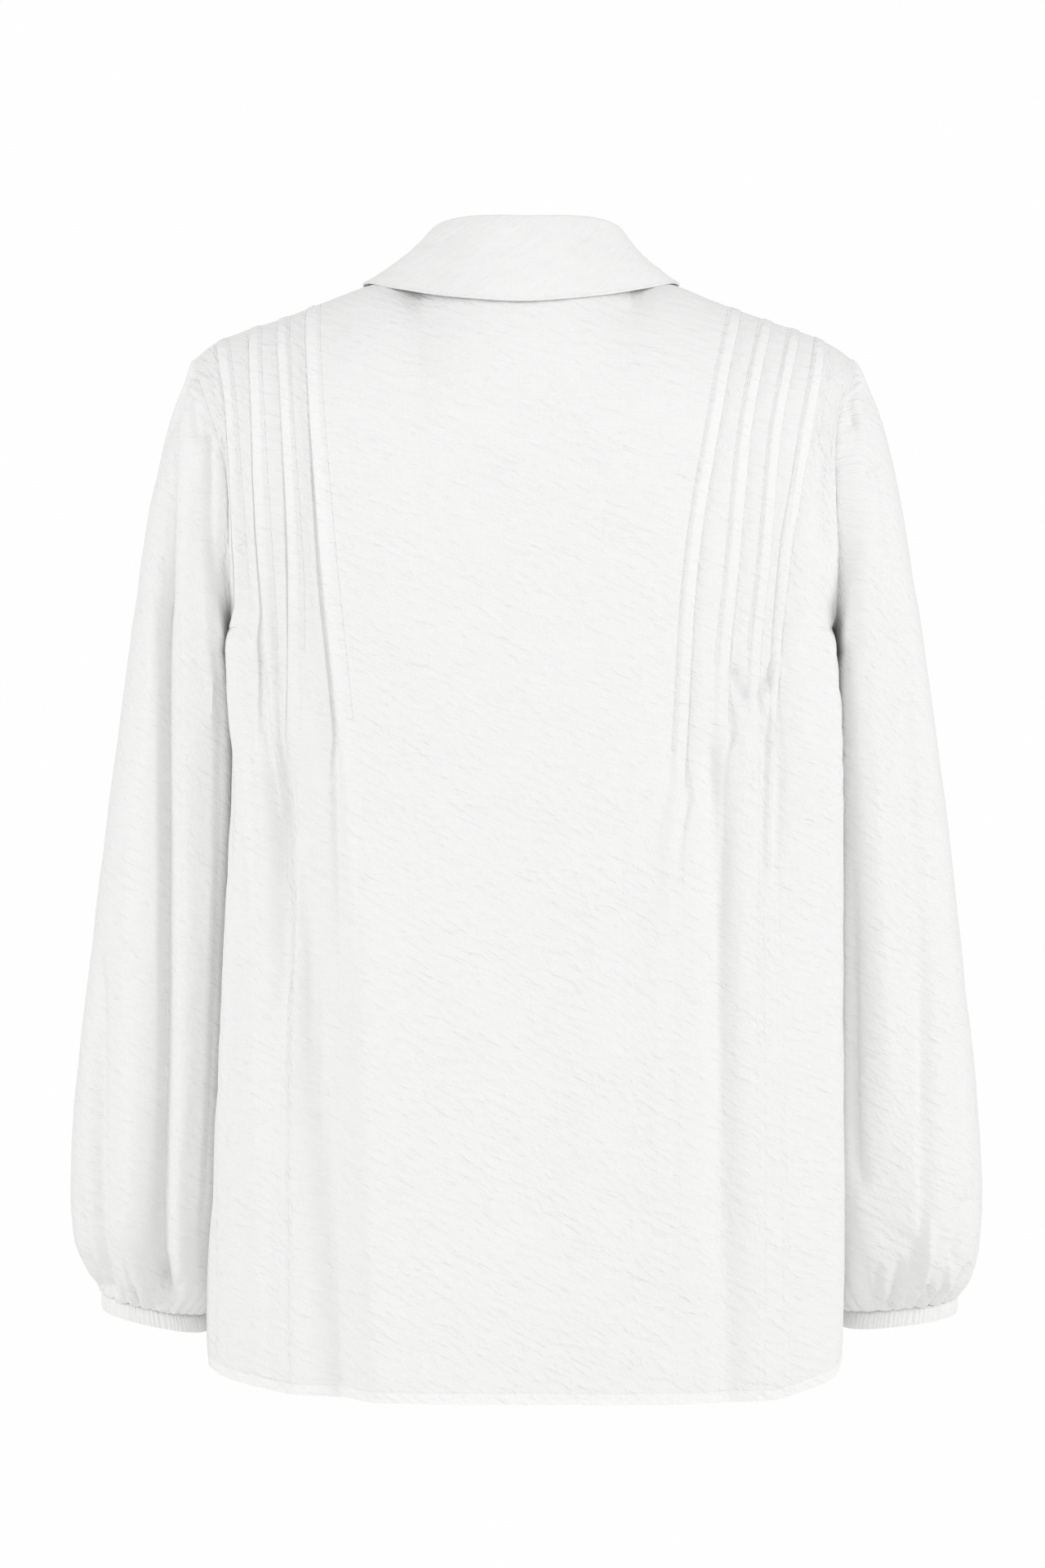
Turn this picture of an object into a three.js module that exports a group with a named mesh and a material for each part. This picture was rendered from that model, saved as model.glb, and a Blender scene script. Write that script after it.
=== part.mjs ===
// A woman's white button-up blouse with narrow shoulder tucks, filled out as if worn: hollow, with open
// neck, hem, armholes and cuffs. Millimetres, +Z up, the front faces -Y and +X is the wearer's left.
// The origin is the middle of the neck, level with the points where neck and shoulder seams meet.
// Heights are given as "down", the distance below that level.

import * as THREE from "three";
import { mergeVertices } from "three/addons/utils/BufferGeometryUtils.js";

// ---- Driving dimensions ----

const CLOTH = 1.5; // thickness of the cloth wall, seams and turnings included
const SEAM_GAP = 0.3; // between two pieces sewn together
const SIDE_NUDGE = SEAM_GAP / 2; // each of two neighbours gives way by this
const TWIST_NUDGE = 0.05; // and by this as well where a seam turns over a fold
const UNDERARM = 222; // down to the lowest point of the armhole
const SHOULDER_TIP = 48; // down to its highest point
const ROUNDNESS = 3; // power of the body's rounded sections: 2 is an ellipse
const BACK_HEM = 690;
const FRONT_RISE = 8; // of the hem at the centre front above the lowest point of the back's

const NECK = { halfWidth: 66, back: 62, front: 69, rise: 41 };

// The shoulder seams, from the neck to the sleeve; the right one slopes a little more.
const SHOULDER_LINES = {
  1: [
    { out: 66, down: 0 },
    { out: 115, down: 8.5 },
    { out: 155, down: 24 },
    { out: 180, down: 32 },
    { out: 198, down: 40 },
    { out: 208, down: 48 },
  ],
  [-1]: [
    { out: 66, down: 0 },
    { out: 115, down: 11.4 },
    { out: 130, down: 17.2 },
    { out: 155, down: 26 },
    { out: 180, down: 34.6 },
    { out: 195, down: 42 },
    { out: 203, down: 48 },
  ],
};

// The edge of back and front at each armhole, as seen from behind.
const ARMHOLE = [
  { down: 48, left: 208, right: 203 },
  { down: 58, left: 206.5, right: 203.5 },
  { down: 70, left: 202, right: 202 },
  { down: 86, left: 196, right: 194 },
  { down: 104, left: 190, right: 190 },
  { down: 122, left: 185.5, right: 189.5 },
  { down: 140, left: 183, right: 190 },
  { down: 170, left: 182.5, right: 191 },
  { down: 222, left: 183, right: 191.5 },
];

// How deep the body is behind and before the middle plane.
const DEPTHS = [
  { down: -30, back: 80, front: 68 },
  { down: 0, back: 84, front: 74 },
  { down: 60, back: 92, front: 84 },
  { down: 150, back: 98, front: 104 },
  { down: 250, back: 99, front: 120 },
  { down: 400, back: 102, front: 118 },
  { down: 550, back: 107, front: 119 },
  { down: 700, back: 112, front: 121 },
];

// How far the body reaches to each side below the arms, and how far each side seam turns towards the
// back, in degrees.
const SIDES = [
  { down: 222, left: 182.5, right: 191.5, leftSeam: 0, rightSeam: 0 },
  { down: 270, left: 181.5, right: 192.8, leftSeam: 2, rightSeam: 9 },
  { down: 340, left: 182.8, right: 193.7, leftSeam: 4, rightSeam: 17 },
  { down: 450, left: 186.5, right: 193.7, leftSeam: 5, rightSeam: 14 },
  { down: 550, left: 191.2, right: 193.7, leftSeam: 5, rightSeam: 10 },
  { down: 700, left: 196, right: 193.5, leftSeam: 5, rightSeam: 9 },
];

// How far the back's hem rises above its lowest point, by distance to the wearer's left.
const HEM_RISE = [
  { x: -198, up: 15 },
  { x: -188, up: 7 },
  { x: -178, up: 4.5 },
  { x: -150, up: 0.5 },
  { x: -120, up: 0 },
  { x: 95, up: 0.5 },
  { x: 125, up: 2 },
  { x: 168, up: 4 },
  { x: 198, up: 5 },
];
const HEM_SIDE = 198; // where the front's hem meets the back's
const FRONT_HEM_POWER = 4; // how late the front's hem bends towards the back's

// Down each side the back's outermost fold stands out square, over the edge of the sleeve: its share of
// the half width, how far it stands out backwards and sideways, and how far the side lies inside it.
const EDGE_FOLD = { starts: 0.8, full: 0.955, ends: 0.965, gone: 0.985, stand: 11, over: 10.5, inset: 2.5 };
const EDGE_FOLD_DOWN = { from: 225, full: 300 };

// Shoulder tucks, from the neck outwards: distance of the free edge from the centre at the seam, at
// blade height, where the tuck opens (low) and at the hem, where only its line goes on. "Steps" is the
// number of parts into which the cloth between it and the line before it is divided.
const TUCK = { width: 7, lift: 1.8, edge: 0.4, opens: 60, bladeDown: 183 };
const TUCKS = [
  { side: 1, steps: 2, top: 138, blade: 124, low: 111, lowDown: 328, hem: 106 },
  { side: 1, steps: 2, top: 156, blade: 144, low: 145, lowDown: 338, hem: 140 },
  { side: 1, steps: 1, top: 173.5, blade: 162, low: 150, lowDown: 320, hem: 147 },
  { side: 1, steps: 1, top: 195, blade: 177, low: 169, lowDown: 310, hem: 172 },
  { side: -1, steps: 2, top: 135, blade: 103.5, low: 92, lowDown: 330, hem: 84 },
  { side: -1, steps: 1, top: 155, blade: 128.4, low: 122, lowDown: 254, hem: 112 },
  { side: -1, steps: 1, top: 172, blade: 147, low: 141, lowDown: 254, hem: 136 },
  { side: -1, steps: 1, top: 188, blade: 159.5, low: 149, lowDown: 338, hem: 152 },
];
const TUCK_ROOM = 0.6; // of the way to the line before, at most, belongs to a tuck's width
const NECK_POINT = { top: 66, blade: 62, low: 58, lowDown: 330, hem: 54 };

// The largest folds of back and front: lines from top to low, half as wide as "spread" says, raised by
// "lift", or sunk where it is negative. Distances are to the wearer's left.
const FOLDS = [
  { face: "back", top: 150, topDown: 280, low: 104, lowDown: 770, spread: 12, lift: -7 },
  { face: "back", top: 97, topDown: 330, low: 94, lowDown: 740, spread: 15, lift: 5 },
  { face: "back", top: -115, topDown: 280, low: -128, lowDown: 770, spread: 12, lift: -7 },
  { face: "back", top: -97, topDown: 300, low: -87, lowDown: 700, spread: 16, lift: 5 },
  { face: "back", top: -152, topDown: 390, low: -156, lowDown: 740, spread: 14, lift: 3 },
  { face: "front", top: 116, topDown: 240, low: 92, lowDown: 760, spread: 13, lift: -6.5 },
  { face: "front", top: 72, topDown: 300, low: 66, lowDown: 760, spread: 16, lift: 4.5 },
  { face: "front", top: -108, topDown: 250, low: -126, lowDown: 760, spread: 13, lift: -6.5 },
  { face: "front", top: -78, topDown: 320, low: -60, lowDown: 760, spread: 17, lift: 4.5 },
];

// The sleeves' rings from the armhole to the cuff. For each side: the nearest and the farthest point from
// the centre, and how much higher the farthest hangs. Depth is half the ring's size from front to back,
// about its middle; power makes it squarer, and corner does so for the quarter beside the body's back.
const SLEEVE_RINGS = [
  {
    down: 141, left: [185, 214, 165.4], right: [193.7, 210.5, 165.4],
    depth: 61, middle: 2, power: 2, corner: 2.6,
  },
  {
    down: 157.1, left: [185.2, 225.5, 137.8], right: [193.9, 224, 137.8],
    depth: 62, middle: 1, power: 2, corner: 3.4,
  },
  {
    down: 177.5, left: [185.4, 234.5, 103], right: [194.1, 232.8, 103],
    depth: 63, middle: 0, power: 2.1, corner: 4.6,
  },
  {
    down: 198.2, left: [185.6, 240.3, 69.6], right: [194.3, 239.3, 69.6],
    depth: 63, middle: -1, power: 2.3, corner: 6,
  },
  {
    down: 217.5, left: [185.7, 244.9, 41], right: [194.5, 244.3, 41],
    depth: 62, middle: -2, power: 2.5, corner: 7,
  },
  {
    down: 234.8, left: [184, 248.6, 18.5], right: [193.2, 248.7, 18.5],
    depth: 62, middle: -3, power: 2.7, corner: 7,
  },
  {
    down: 254, left: [182.3, 252.3, 0], right: [192.8, 252.7, 0],
    depth: 62, middle: -4, power: 2.9, corner: 6,
  },
  {
    down: 302, left: [181, 258.8, 0], right: [192.2, 259.5, 0],
    depth: 64, middle: -8, power: 3, corner: 5,
  },
  {
    down: 370, left: [182.4, 268.2, 0], right: [192.3, 268.4, 0],
    depth: 67, middle: -13, power: 3, corner: 5,
  },
  {
    down: 440, left: [184.9, 277.2, 1.6], right: [192.3, 277.2, 1],
    depth: 70, middle: -18, power: 3, corner: 5,
  },
  {
    down: 510, left: [188, 285.4, 3.4], right: [192.3, 285.4, 2],
    depth: 73, middle: -23, power: 3, corner: 5,
  },
  {
    down: 570, left: [190.9, 289.3, 6.2], right: [192.6, 289.3, 4],
    depth: 74, middle: -27, power: 3, corner: 5,
  },
  {
    down: 610, left: [193.4, 287.8, 9.4], right: [194.6, 288, 6],
    depth: 68, middle: -29, power: 2.8, corner: 4.6,
  },
  {
    down: 634, left: [197.5, 281.5, 13], right: [198.6, 284, 8],
    depth: 54, middle: -30, power: 2.5, corner: 3.6,
  },
  {
    down: 645, left: [203.5, 276.5, 15], right: [202, 280, 9],
    depth: 40, middle: -30, power: 2.3, corner: 3,
  },
  {
    down: 650.2, left: [206, 273.5, 14.4], right: [203.5, 277.5, 9],
    depth: 32, middle: -30, power: 2.2, corner: 2.4,
  },
];
// Beside the body's back a sleeve has a sunk ledge, as a share of its depth.
const SLEEVE_LEDGE = { 1: { from: 5.2, to: 6.6, sunk: 0.09 }, [-1]: { from: 7.5, to: 18, sunk: 0.1 } };

// Long folds of the sleeves, of one side or (0) both: place around the ring (0 under the arm, 90 behind,
// 180 outside, 270 in front), where they begin and end, half width in degrees and lift.
const SLEEVE_FOLDS = [
  { side: 1, around: 84, topDown: 100, lowDown: 665, spread: 13, lift: -7 },
  { side: 1, around: 66, topDown: 200, lowDown: 665, spread: 12, lift: 3 },
  { side: 1, around: 104, topDown: 230, lowDown: 665, spread: 15, lift: 4 },
  { side: 1, around: 122, topDown: 400, lowDown: 665, spread: 12, lift: -5 },
  { side: -1, around: 76, topDown: 110, lowDown: 600, spread: 16, lift: 4 },
  { side: -1, around: 98, topDown: 180, lowDown: 600, spread: 14, lift: -3.5 },
  { side: 0, around: 205, topDown: 330, lowDown: 665, spread: 15, lift: -4 },
  { side: 0, around: 256, topDown: 200, lowDown: 665, spread: 17, lift: 3.5 },
  { side: 0, around: 280, topDown: 120, lowDown: 665, spread: 15, lift: -6 },
];

// The elastic cuff, from its seam to its open end.
const CUFF_WALL = 2.2;
const CUFF_PARTS_AROUND = 24;
const CUFF_RINGS = [
  {
    down: 650.4, left: [206.5, 274, 14.4], right: [204, 277, 9],
    depth: 31.5, middle: -30, power: 2.2, corner: 2.2,
  },
  {
    down: 661, left: [203.5, 273.8, 14.4], right: [201.5, 276.5, 9],
    depth: 32.5, middle: -30, power: 2.2, corner: 2.2,
  },
];

// Collar stand: a band on the neck seam, its right end lapped over the left at the front.
const STAND = { tilt: 0.2, lapTurn: 11, lapLift: 2.2, lapFrom: 148, lapFull: 166, lift: 0.35 };
const STAND_SHAPE = [
  { turn: 0, lean: 3.5, height: 27 },
  { turn: 50, lean: 2, height: 28 },
  { turn: 90, lean: 8, height: 27 },
  { turn: 180, lean: 1, height: 24 },
];

// The free edge of the turned-down collar, from the centre back (0) to the collar point (180), and how
// far the leaf swells out halfway to it.
const COLLAR_EDGE = [
  { turn: -25, out: -46, back: 68, down: 19, bulge: 2 },
  { turn: 0, out: 0, back: 80.5, down: 24, bulge: 2 },
  { turn: 25, out: 46, back: 68, down: 19, bulge: 2 },
  { turn: 50, out: 81, back: 33, down: 8.5, bulge: 0 },
  { turn: 75, out: 98, back: 9, down: 1.5, bulge: -3 },
  { turn: 100, out: 100, back: -16, down: 4, bulge: -2 },
  { turn: 130, out: 90, back: -42, down: 27, bulge: 2 },
  { turn: 155, out: 73, back: -62, down: 52, bulge: 3 },
  { turn: 180, out: 50, back: -78, down: 82, bulge: 3 },
];
// Its roll, as seen in section from the top of the stand.
const COLLAR_ROLL = [
  { out: -1.5, up: 0.4 },
  { out: -1.1, up: 2.4 },
  { out: 1.1, up: 3.8 },
  { out: 3.5, up: 2.6 },
];
const COLLAR = { rows: 4, toLeft: 3.5, lastTurn: 177 };

// The fronts lap by the placket's width; the right one rises over the left and comes down beyond it.
const PLACKET = { halfWidth: 13, lift: 2.1, riseFrom: 34, riseTo: 15 };
const LEVEL_NECK = 40; // the neck edge stays level this far from the lap
const BUTTON = { radius: 5.5, thickness: 2.2, bevel: 0.7, rim: 1.1, dish: 0.6, parts: 12 };
const BUTTON_ROW = { first: 96, last: 622, count: 7 }; // down the centre front

const FRONT_CROWD = 1.6; // how much closer the fronts' lines lie by the side seam
const NECK_PARTS = 6; // of a quarter of the neck seam
const NECK_ROWS = 5; // of the panels' grid, over which its columns leave the neck seam's spacing
const ARMHOLE_ROWS = 9; // of the panels' grid, down the armhole
const SIDE_ROWS = 6; // and down the side seam

// ---- Curves and sections ----

const radians = THREE.MathUtils.degToRad;
const mix = THREE.MathUtils.lerp;
const smooth = (value, from, to) => THREE.MathUtils.smoothstep(value, from, to);

// A smooth curve through one column of a table against another, level beyond its ends.
function curve(rows, place, value) {
  const at = rows.map((row) => row[place]);
  const reads = rows.map((row) => row[value]);
  const last = rows.length - 1;
  const slopes = at.map((_, i) => {
    const before = Math.max(i - 1, 0);
    const after = Math.min(i + 1, last);
    return (reads[after] - reads[before]) / (at[after] - at[before]);
  });
  return (where) => {
    if (where <= at[0]) return reads[0];
    if (where >= at[last]) return reads[last];
    const i = at.findIndex((_, k) => where < at[k + 1]);
    const span = at[i + 1] - at[i];
    const t = (where - at[i]) / span;
    const ease = t * t * (3 - 2 * t);
    const leave = t * (1 - t) * (1 - t) * span * slopes[i];
    const arrive = t * t * (t - 1) * span * slopes[i + 1];
    return mix(reads[i], reads[i + 1], ease) + leave + arrive;
  };
}

const shoulderDown = {
  1: curve(SHOULDER_LINES[1], "out", "down"),
  [-1]: curve(SHOULDER_LINES[-1], "out", "down"),
};
const armholeOut = { 1: curve(ARMHOLE, "down", "left"), [-1]: curve(ARMHOLE, "down", "right") };
const sideOut = { 1: curve(SIDES, "down", "left"), [-1]: curve(SIDES, "down", "right") };
const hemRise = curve(HEM_RISE, "x", "up");
const seamTurn = { 1: curve(SIDES, "down", "leftSeam"), [-1]: curve(SIDES, "down", "rightSeam") };

// Back and front: depth, length of the round over the shoulder, and the armhole's reach.
const BACK = {
  sign: 1,
  depth: curve(DEPTHS, "down", "back"),
  drop: () => 120,
  armReach: 62,
  neck: NECK.back,
};
const FRONT = {
  sign: -1,
  depth: curve(DEPTHS, "down", "front"),
  drop: (x) => mix(230, 120, smooth(Math.abs(x), 60, 150)),
  armReach: 56,
  neck: NECK.front,
};

// Height of the line where back and front meet over the shoulder; inside the neck it is only a guide.
function ridgeDown(x) {
  const out = Math.abs(x);
  if (out >= NECK.halfWidth) return shoulderDown[x < 0 ? -1 : 1](out);
  return -NECK.rise * (1 - (out / NECK.halfWidth) ** 2) ** 1.1;
}

// Quarter round that carries a panel from the ridge (0) to its full depth (1 and more).
function arch(t) {
  const rest = 1 - Math.min(Math.max(t, 0), 1);
  return Math.sqrt(1 - rest * rest);
}

const TIP_CLEAR = 0.5; // the section has no depth at the shoulder tip itself
const armholeMiddle = (UNDERARM + SHOULDER_TIP) / 2;
const armholeHalf = (UNDERARM - SHOULDER_TIP) / 2;

// Half width of the rounded section that passes through the armhole edge, or the side below it.
function sectionHalfWidth(face, side, down) {
  const inset = EDGE_FOLD.inset * smooth(down, EDGE_FOLD_DOWN.from, EDGE_FOLD_DOWN.full);
  if (down >= UNDERARM) return sideOut[side](down) - inset;
  const level = Math.max(down, SHOULDER_TIP + TIP_CLEAR);
  const height = (level - armholeMiddle) / armholeHalf;
  const reach = face.armReach * Math.sqrt(1 - height * height);
  const depth = face.depth(level) * arch((level - SHOULDER_TIP) / face.drop(armholeOut[side](level)));
  const share = (1 - (reach / depth) ** ROUNDNESS) ** (1 / ROUNDNESS);
  return armholeOut[side](level) / share;
}

// A section's points are named by an angle: 0 at the centre line, 90 at the side.
function angleAt(face, side, x, down) {
  const share = Math.min(Math.abs(x) / sectionHalfWidth(face, side, down), 1);
  return Math.sign(x) * THREE.MathUtils.radToDeg(Math.asin(share ** (ROUNDNESS / 2)));
}

function edgeAngle(face, side, down) {
  if (down < UNDERARM) return angleAt(face, side, armholeOut[side](Math.max(down, SHOULDER_TIP)), down);
  return 90 - face.sign * seamTurn[side](down);
}

function edgeFold(share, down) {
  const risen = smooth(share, EDGE_FOLD.starts, EDGE_FOLD.full);
  const fallen = smooth(share, EDGE_FOLD.ends, EDGE_FOLD.gone);
  return (risen - fallen) * smooth(down, EDGE_FOLD_DOWN.from, EDGE_FOLD_DOWN.full);
}

function bodyPoint(face, side, angle, down) {
  if (angle > 90) return bodyPoint(face === BACK ? FRONT : BACK, side, 180 - angle, down);
  const turn = radians(Math.abs(angle));
  const share = Math.sin(turn) ** (2 / ROUNDNESS);
  const x = side * Math.sign(angle) * share * sectionHalfWidth(face, side, down);
  const depth = face.depth(down) * arch((down - ridgeDown(x)) / face.drop(x));
  const y = face.sign * depth * Math.max(Math.cos(turn), 0) ** (2 / ROUNDNESS);
  const fold = face === BACK ? edgeFold(share, down) : 0;
  return new THREE.Vector3(x + side * EDGE_FOLD.over * fold, y + EDGE_FOLD.stand * fold, -down);
}

// Direction out of the cloth; over the shoulder seam it has no share forwards or back.
function bodyNormal(face, side, angle, down, onSeam) {
  const step = 1; // millimetres down, degrees around
  const ridge = ridgeDown(bodyPoint(face, side, angle, down).x) + 0.02;
  const higher = bodyPoint(face, side, angle, Math.max(down - step, ridge));
  const along = bodyPoint(face, side, angle, down + step).sub(higher);
  const around = bodyPoint(face, side, angle + step, down).sub(bodyPoint(face, side, angle - step, down));
  const normal = along.cross(around).multiplyScalar(-side * face.sign);
  if (onSeam) normal.y = 0;
  return normal.normalize();
}

// ---- Solids from grids ----

// A closed wall between an outer and an inner grid of points; a round grid joins last column to first.
function wallGeometry(outer, inner, round) {
  const rows = outer.length;
  const columns = outer[0].length;
  const points = [...outer.flat(), ...inner.flat()];
  const at = (layer, row, column) => layer * rows * columns + row * columns + (column % columns);
  const faces = [];
  const quad = (a, b, c, d) => faces.push(a, b, c, a, c, d);
  const steps = round ? columns : columns - 1;
  for (let row = 0; row < rows - 1; row += 1) {
    for (let column = 0; column < steps; column += 1) {
      const [r, c] = [row + 1, column + 1];
      quad(at(0, row, column), at(0, row, c), at(0, r, c), at(0, r, column));
      quad(at(1, row, column), at(1, r, column), at(1, r, c), at(1, row, c));
    }
  }
  for (let column = 0; column < steps; column += 1) {
    const c = column + 1;
    quad(at(0, 0, c), at(0, 0, column), at(1, 0, column), at(1, 0, c));
    quad(at(0, rows - 1, column), at(0, rows - 1, c), at(1, rows - 1, c), at(1, rows - 1, column));
  }
  if (!round) {
    for (let row = 0; row < rows - 1; row += 1) {
      const r = row + 1;
      const end = columns - 1;
      quad(at(0, row, 0), at(0, r, 0), at(1, r, 0), at(1, row, 0));
      quad(at(0, r, end), at(0, row, end), at(1, row, end), at(1, r, end));
    }
  }
  if (signedVolume(points, faces) < 0) faces.reverse();
  const geometry = new THREE.BufferGeometry();
  const coordinates = points.flatMap((point) => point.toArray());
  geometry.setAttribute("position", new THREE.Float32BufferAttribute(coordinates, 3));
  geometry.setIndex(faces);
  return geometry;
}

function signedVolume(points, faces) {
  let total = 0;
  for (let i = 0; i < faces.length; i += 3) {
    const [a, b, c] = [points[faces[i]], points[faces[i + 1]], points[faces[i + 2]]];
    total += a.dot(b.clone().cross(c));
  }
  return total / 6;
}

const matte = (color, roughness) => new THREE.MeshStandardMaterial({ color, roughness, metalness: 0 });
const clothMaterial = () => matte(0xf4f4f3, 0.9);
const buttonMaterial = () => matte(0xf1f0ec, 0.35);

function piece(name, geometry, material = clothMaterial()) {
  const mesh = new THREE.Mesh(geometry, material);
  mesh.name = name;
  return mesh;
}

// ---- Back and fronts ----

// A vertical line of a panel, with its distance from the centre at four heights.
function lineOut(line, topDown) {
  return curve(
    [
      { down: topDown, out: line.top },
      { down: TUCK.bladeDown, out: line.blade },
      { down: line.lowDown, out: line.low },
      { down: BACK_HEM, out: line.hem },
    ],
    "down",
    "out",
  );
}

const NECK_PASSES = 8; // each brings the height nearer to where the panel reaches the neck seam
const NEARLY_ALL = 0.999; // of the panel's depth

// Where the panel begins: on the neck seam inside the neck, on the shoulder seam outside it.
function topDown(face, x) {
  const out = Math.abs(x);
  if (out >= NECK.halfWidth) return ridgeDown(x);
  const wanted = face.neck * Math.sqrt(1 - (out / NECK.halfWidth) ** 2);
  let down = ridgeDown(x);
  for (let pass = 0; pass < NECK_PASSES; pass += 1) {
    const share = Math.min(wanted / face.depth(down), NEARLY_ALL);
    down = ridgeDown(x) + face.drop(x) * (1 - Math.sqrt(1 - share * share));
  }
  return down;
}

// One side's lines, from the centre outwards: { top, angle(down, upper), lift(down) }. Between the neck
// point and the centre they spread evenly along the neck seam, and beyond the last tuck evenly around.
function panelLines(face, side, tucks, counts, centreOut = 0) {
  const lines = [];
  const outOf = (line) => lineOut(line, ridgeDown(side * line.top));
  const add = (line, shift = () => 0, lift = () => 0) => {
    const out = outOf(line);
    const angle = (down) => angleAt(face, side, out(down) + shift(down), down);
    lines.push({ top: line.top + shift(ridgeDown(side * line.top)), angle, lift });
  };
  const neckOut = lineOut(NECK_POINT, 0);
  for (let i = 0; i < counts.neck; i += 1) {
    const share = i / counts.neck;
    const top = NECK.halfWidth * Math.sin((share * Math.PI) / 2);
    const x = (down, upper) => neckOut(down) * mix(share, top / NECK.halfWidth, upper);
    lines.push({ top, angle: (down, upper) => angleAt(face, side, x(down, upper), down), lift: () => 0 });
  }
  if (centreOut) {
    const flat = (out) => ({ top: out, angle: (down) => angleAt(face, side, out, down), lift: () => 0 });
    lines.splice(0, 1, flat(-centreOut), flat(0), flat(centreOut));
  }
  add(NECK_POINT);
  const between = (line, from, share) => ({
    top: mix(from.top, line.top, share),
    blade: mix(from.blade, line.blade, share),
    low: mix(from.low, line.low, share),
    lowDown: mix(from.lowDown, line.lowDown, share),
    hem: mix(from.hem, line.hem, share),
  });
  let from = NECK_POINT;
  tucks.forEach((tuck) => {
    for (let k = 1; k < tuck.steps; k += 1) add(between(tuck, from, k / tuck.steps));
    const fade = (down) => TUCK.lift * (1 - smooth(down, tuck.lowDown - TUCK.opens, tuck.lowDown));
    const [own, before] = [outOf(tuck), outOf(from)];
    add(tuck, (down) => -Math.min(TUCK.width, TUCK_ROOM * (own(down) - before(down))));
    add(tuck, () => -TUCK.edge, fade);
    add(tuck, () => TUCK.edge);
    from = tuck;
  });
  const last = lines[lines.length - 1];
  for (let i = 1; i <= counts.side; i += 1) {
    const share = 1 - (1 - i / counts.side) ** (counts.crowd ?? 1);
    const top = mix(last.top, SHOULDER_LINES[side].at(-1).out, share);
    const start = ridgeDown(side * top);
    const spread = (down) => mix(last.angle(down, 0), edgeAngle(face, side, down), share);
    const toSeam = angleAt(face, side, top, start) - spread(start);
    lines.push({
      top,
      angle: (down, upper) => spread(down) + toSeam * upper,
      lift: () => 0,
      edge: i === counts.side,
    });
  }
  return lines;
}

const FOLD_ENDS = { top: 0.3, low: 0.15 }; // shares of a fold's length in which it grows and ends

function foldLift(face, point) {
  const down = -point.z;
  const name = face === BACK ? "back" : "front";
  return FOLDS.filter((fold) => fold.face === name).reduce((sum, fold) => {
    const along = (down - fold.topDown) / (fold.lowDown - fold.topDown);
    if (along <= 0 || along >= 1) return sum;
    const away = (point.x - mix(fold.top, fold.low, along)) / fold.spread;
    const grow = smooth(along, 0, FOLD_ENDS.top) * (1 - smooth(along, 1 - FOLD_ENDS.low, 1));
    return sum + fold.lift * grow * Math.exp(-away * away);
  }, 0);
}

function rowDown(face, side, line, angle, row) {
  const start = topDown(face, side * line.top);
  if (row <= ARMHOLE_ROWS) {
    return mix(start, UNDERARM, (1 - Math.cos((Math.PI * row) / ARMHOLE_ROWS)) / 2);
  }
  const across = Math.abs(Math.sin(radians(angle))) ** (2 / ROUNDNESS) * HEM_SIDE;
  const frontRise = mix(FRONT_RISE, hemRise(side * HEM_SIDE), (across / HEM_SIDE) ** FRONT_HEM_POWER);
  const hem = BACK_HEM - (face === BACK ? hemRise(side * across) : frontRise);
  return mix(UNDERARM, hem, (row - ARMHOLE_ROWS) / SIDE_ROWS);
}

// The panel's points in rows from the top to the hem, each { point, normal, lift }.
function panelGrid(face, side, lines, lapLift = () => 0) {
  const rows = [];
  for (let row = 0; row <= ARMHOLE_ROWS + SIDE_ROWS; row += 1) {
    const upper = Math.max(1 - row / NECK_ROWS, 0);
    rows.push(
      lines.map((line) => {
        const guess = line.angle(UNDERARM, 0);
        const down = rowDown(face, side, line, line.edge ? 90 : guess, row);
        const angle = line.angle(down, upper);
        const point = bodyPoint(face, side, angle, down);
        const onSeam = row === 0 && line.top >= NECK.halfWidth;
        if (onSeam) point.y = face.sign * SIDE_NUDGE;
        const normal = bodyNormal(face, side, angle, down, onSeam);
        if (row === 0 && face === FRONT && Math.abs(point.x) < LEVEL_NECK) normal.setZ(0).normalize();
        const fold = foldLift(face, point) + lapLift(side * point.x);
        return { point, normal, lift: line.lift(down), fold };
      }),
    );
  }
  return rows;
}

// Moves the side edges back by half a seam, towards their neighbours, along the given rows.
function trimEdge(grid, column, neighbour) {
  grid.forEach((row) => {
    const inwards = row[neighbour].point.clone().sub(row[column].point).normalize();
    row[column].point.addScaledVector(inwards, SIDE_NUDGE + TWIST_NUDGE);
  });
}

const moved = (node, distance) => node.point.clone().addScaledVector(node.normal, distance);

function panelSolid(grid) {
  const outer = grid.map((row) => row.map((node) => moved(node, node.fold + node.lift)));
  const inner = grid.map((row) => row.map((node) => moved(node, node.fold - CLOTH)));
  return wallGeometry(outer, inner, false);
}

const tucksOf = (side) => TUCKS.filter((tuck) => tuck.side === side);

function backGrid() {
  const counts = { neck: NECK_PARTS, side: 3 };
  const left = panelGrid(BACK, 1, panelLines(BACK, 1, tucksOf(1), counts));
  const right = panelGrid(BACK, -1, panelLines(BACK, -1, tucksOf(-1), { ...counts, side: 4 }));
  const grid = left.map((row, i) => [...right[i].slice(1).reverse(), ...row]);
  trimEdge(grid, 0, 1);
  trimEdge(grid, grid[0].length - 1, grid[0].length - 2);
  return grid;
}

function frontGrid(side) {
  const counts = { neck: NECK_PARTS, side: 7, crowd: FRONT_CROWD };
  const lines = panelLines(FRONT, side, [], counts, PLACKET.halfWidth);
  const lap = (x) => PLACKET.lift * (1 - smooth(x, PLACKET.riseTo, PLACKET.riseFrom));
  const grid = panelGrid(FRONT, side, lines, side === -1 ? lap : () => 0);
  trimEdge(grid, grid[0].length - 1, grid[0].length - 2);
  return grid;
}

// ---- Sleeves and cuffs ----

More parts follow.
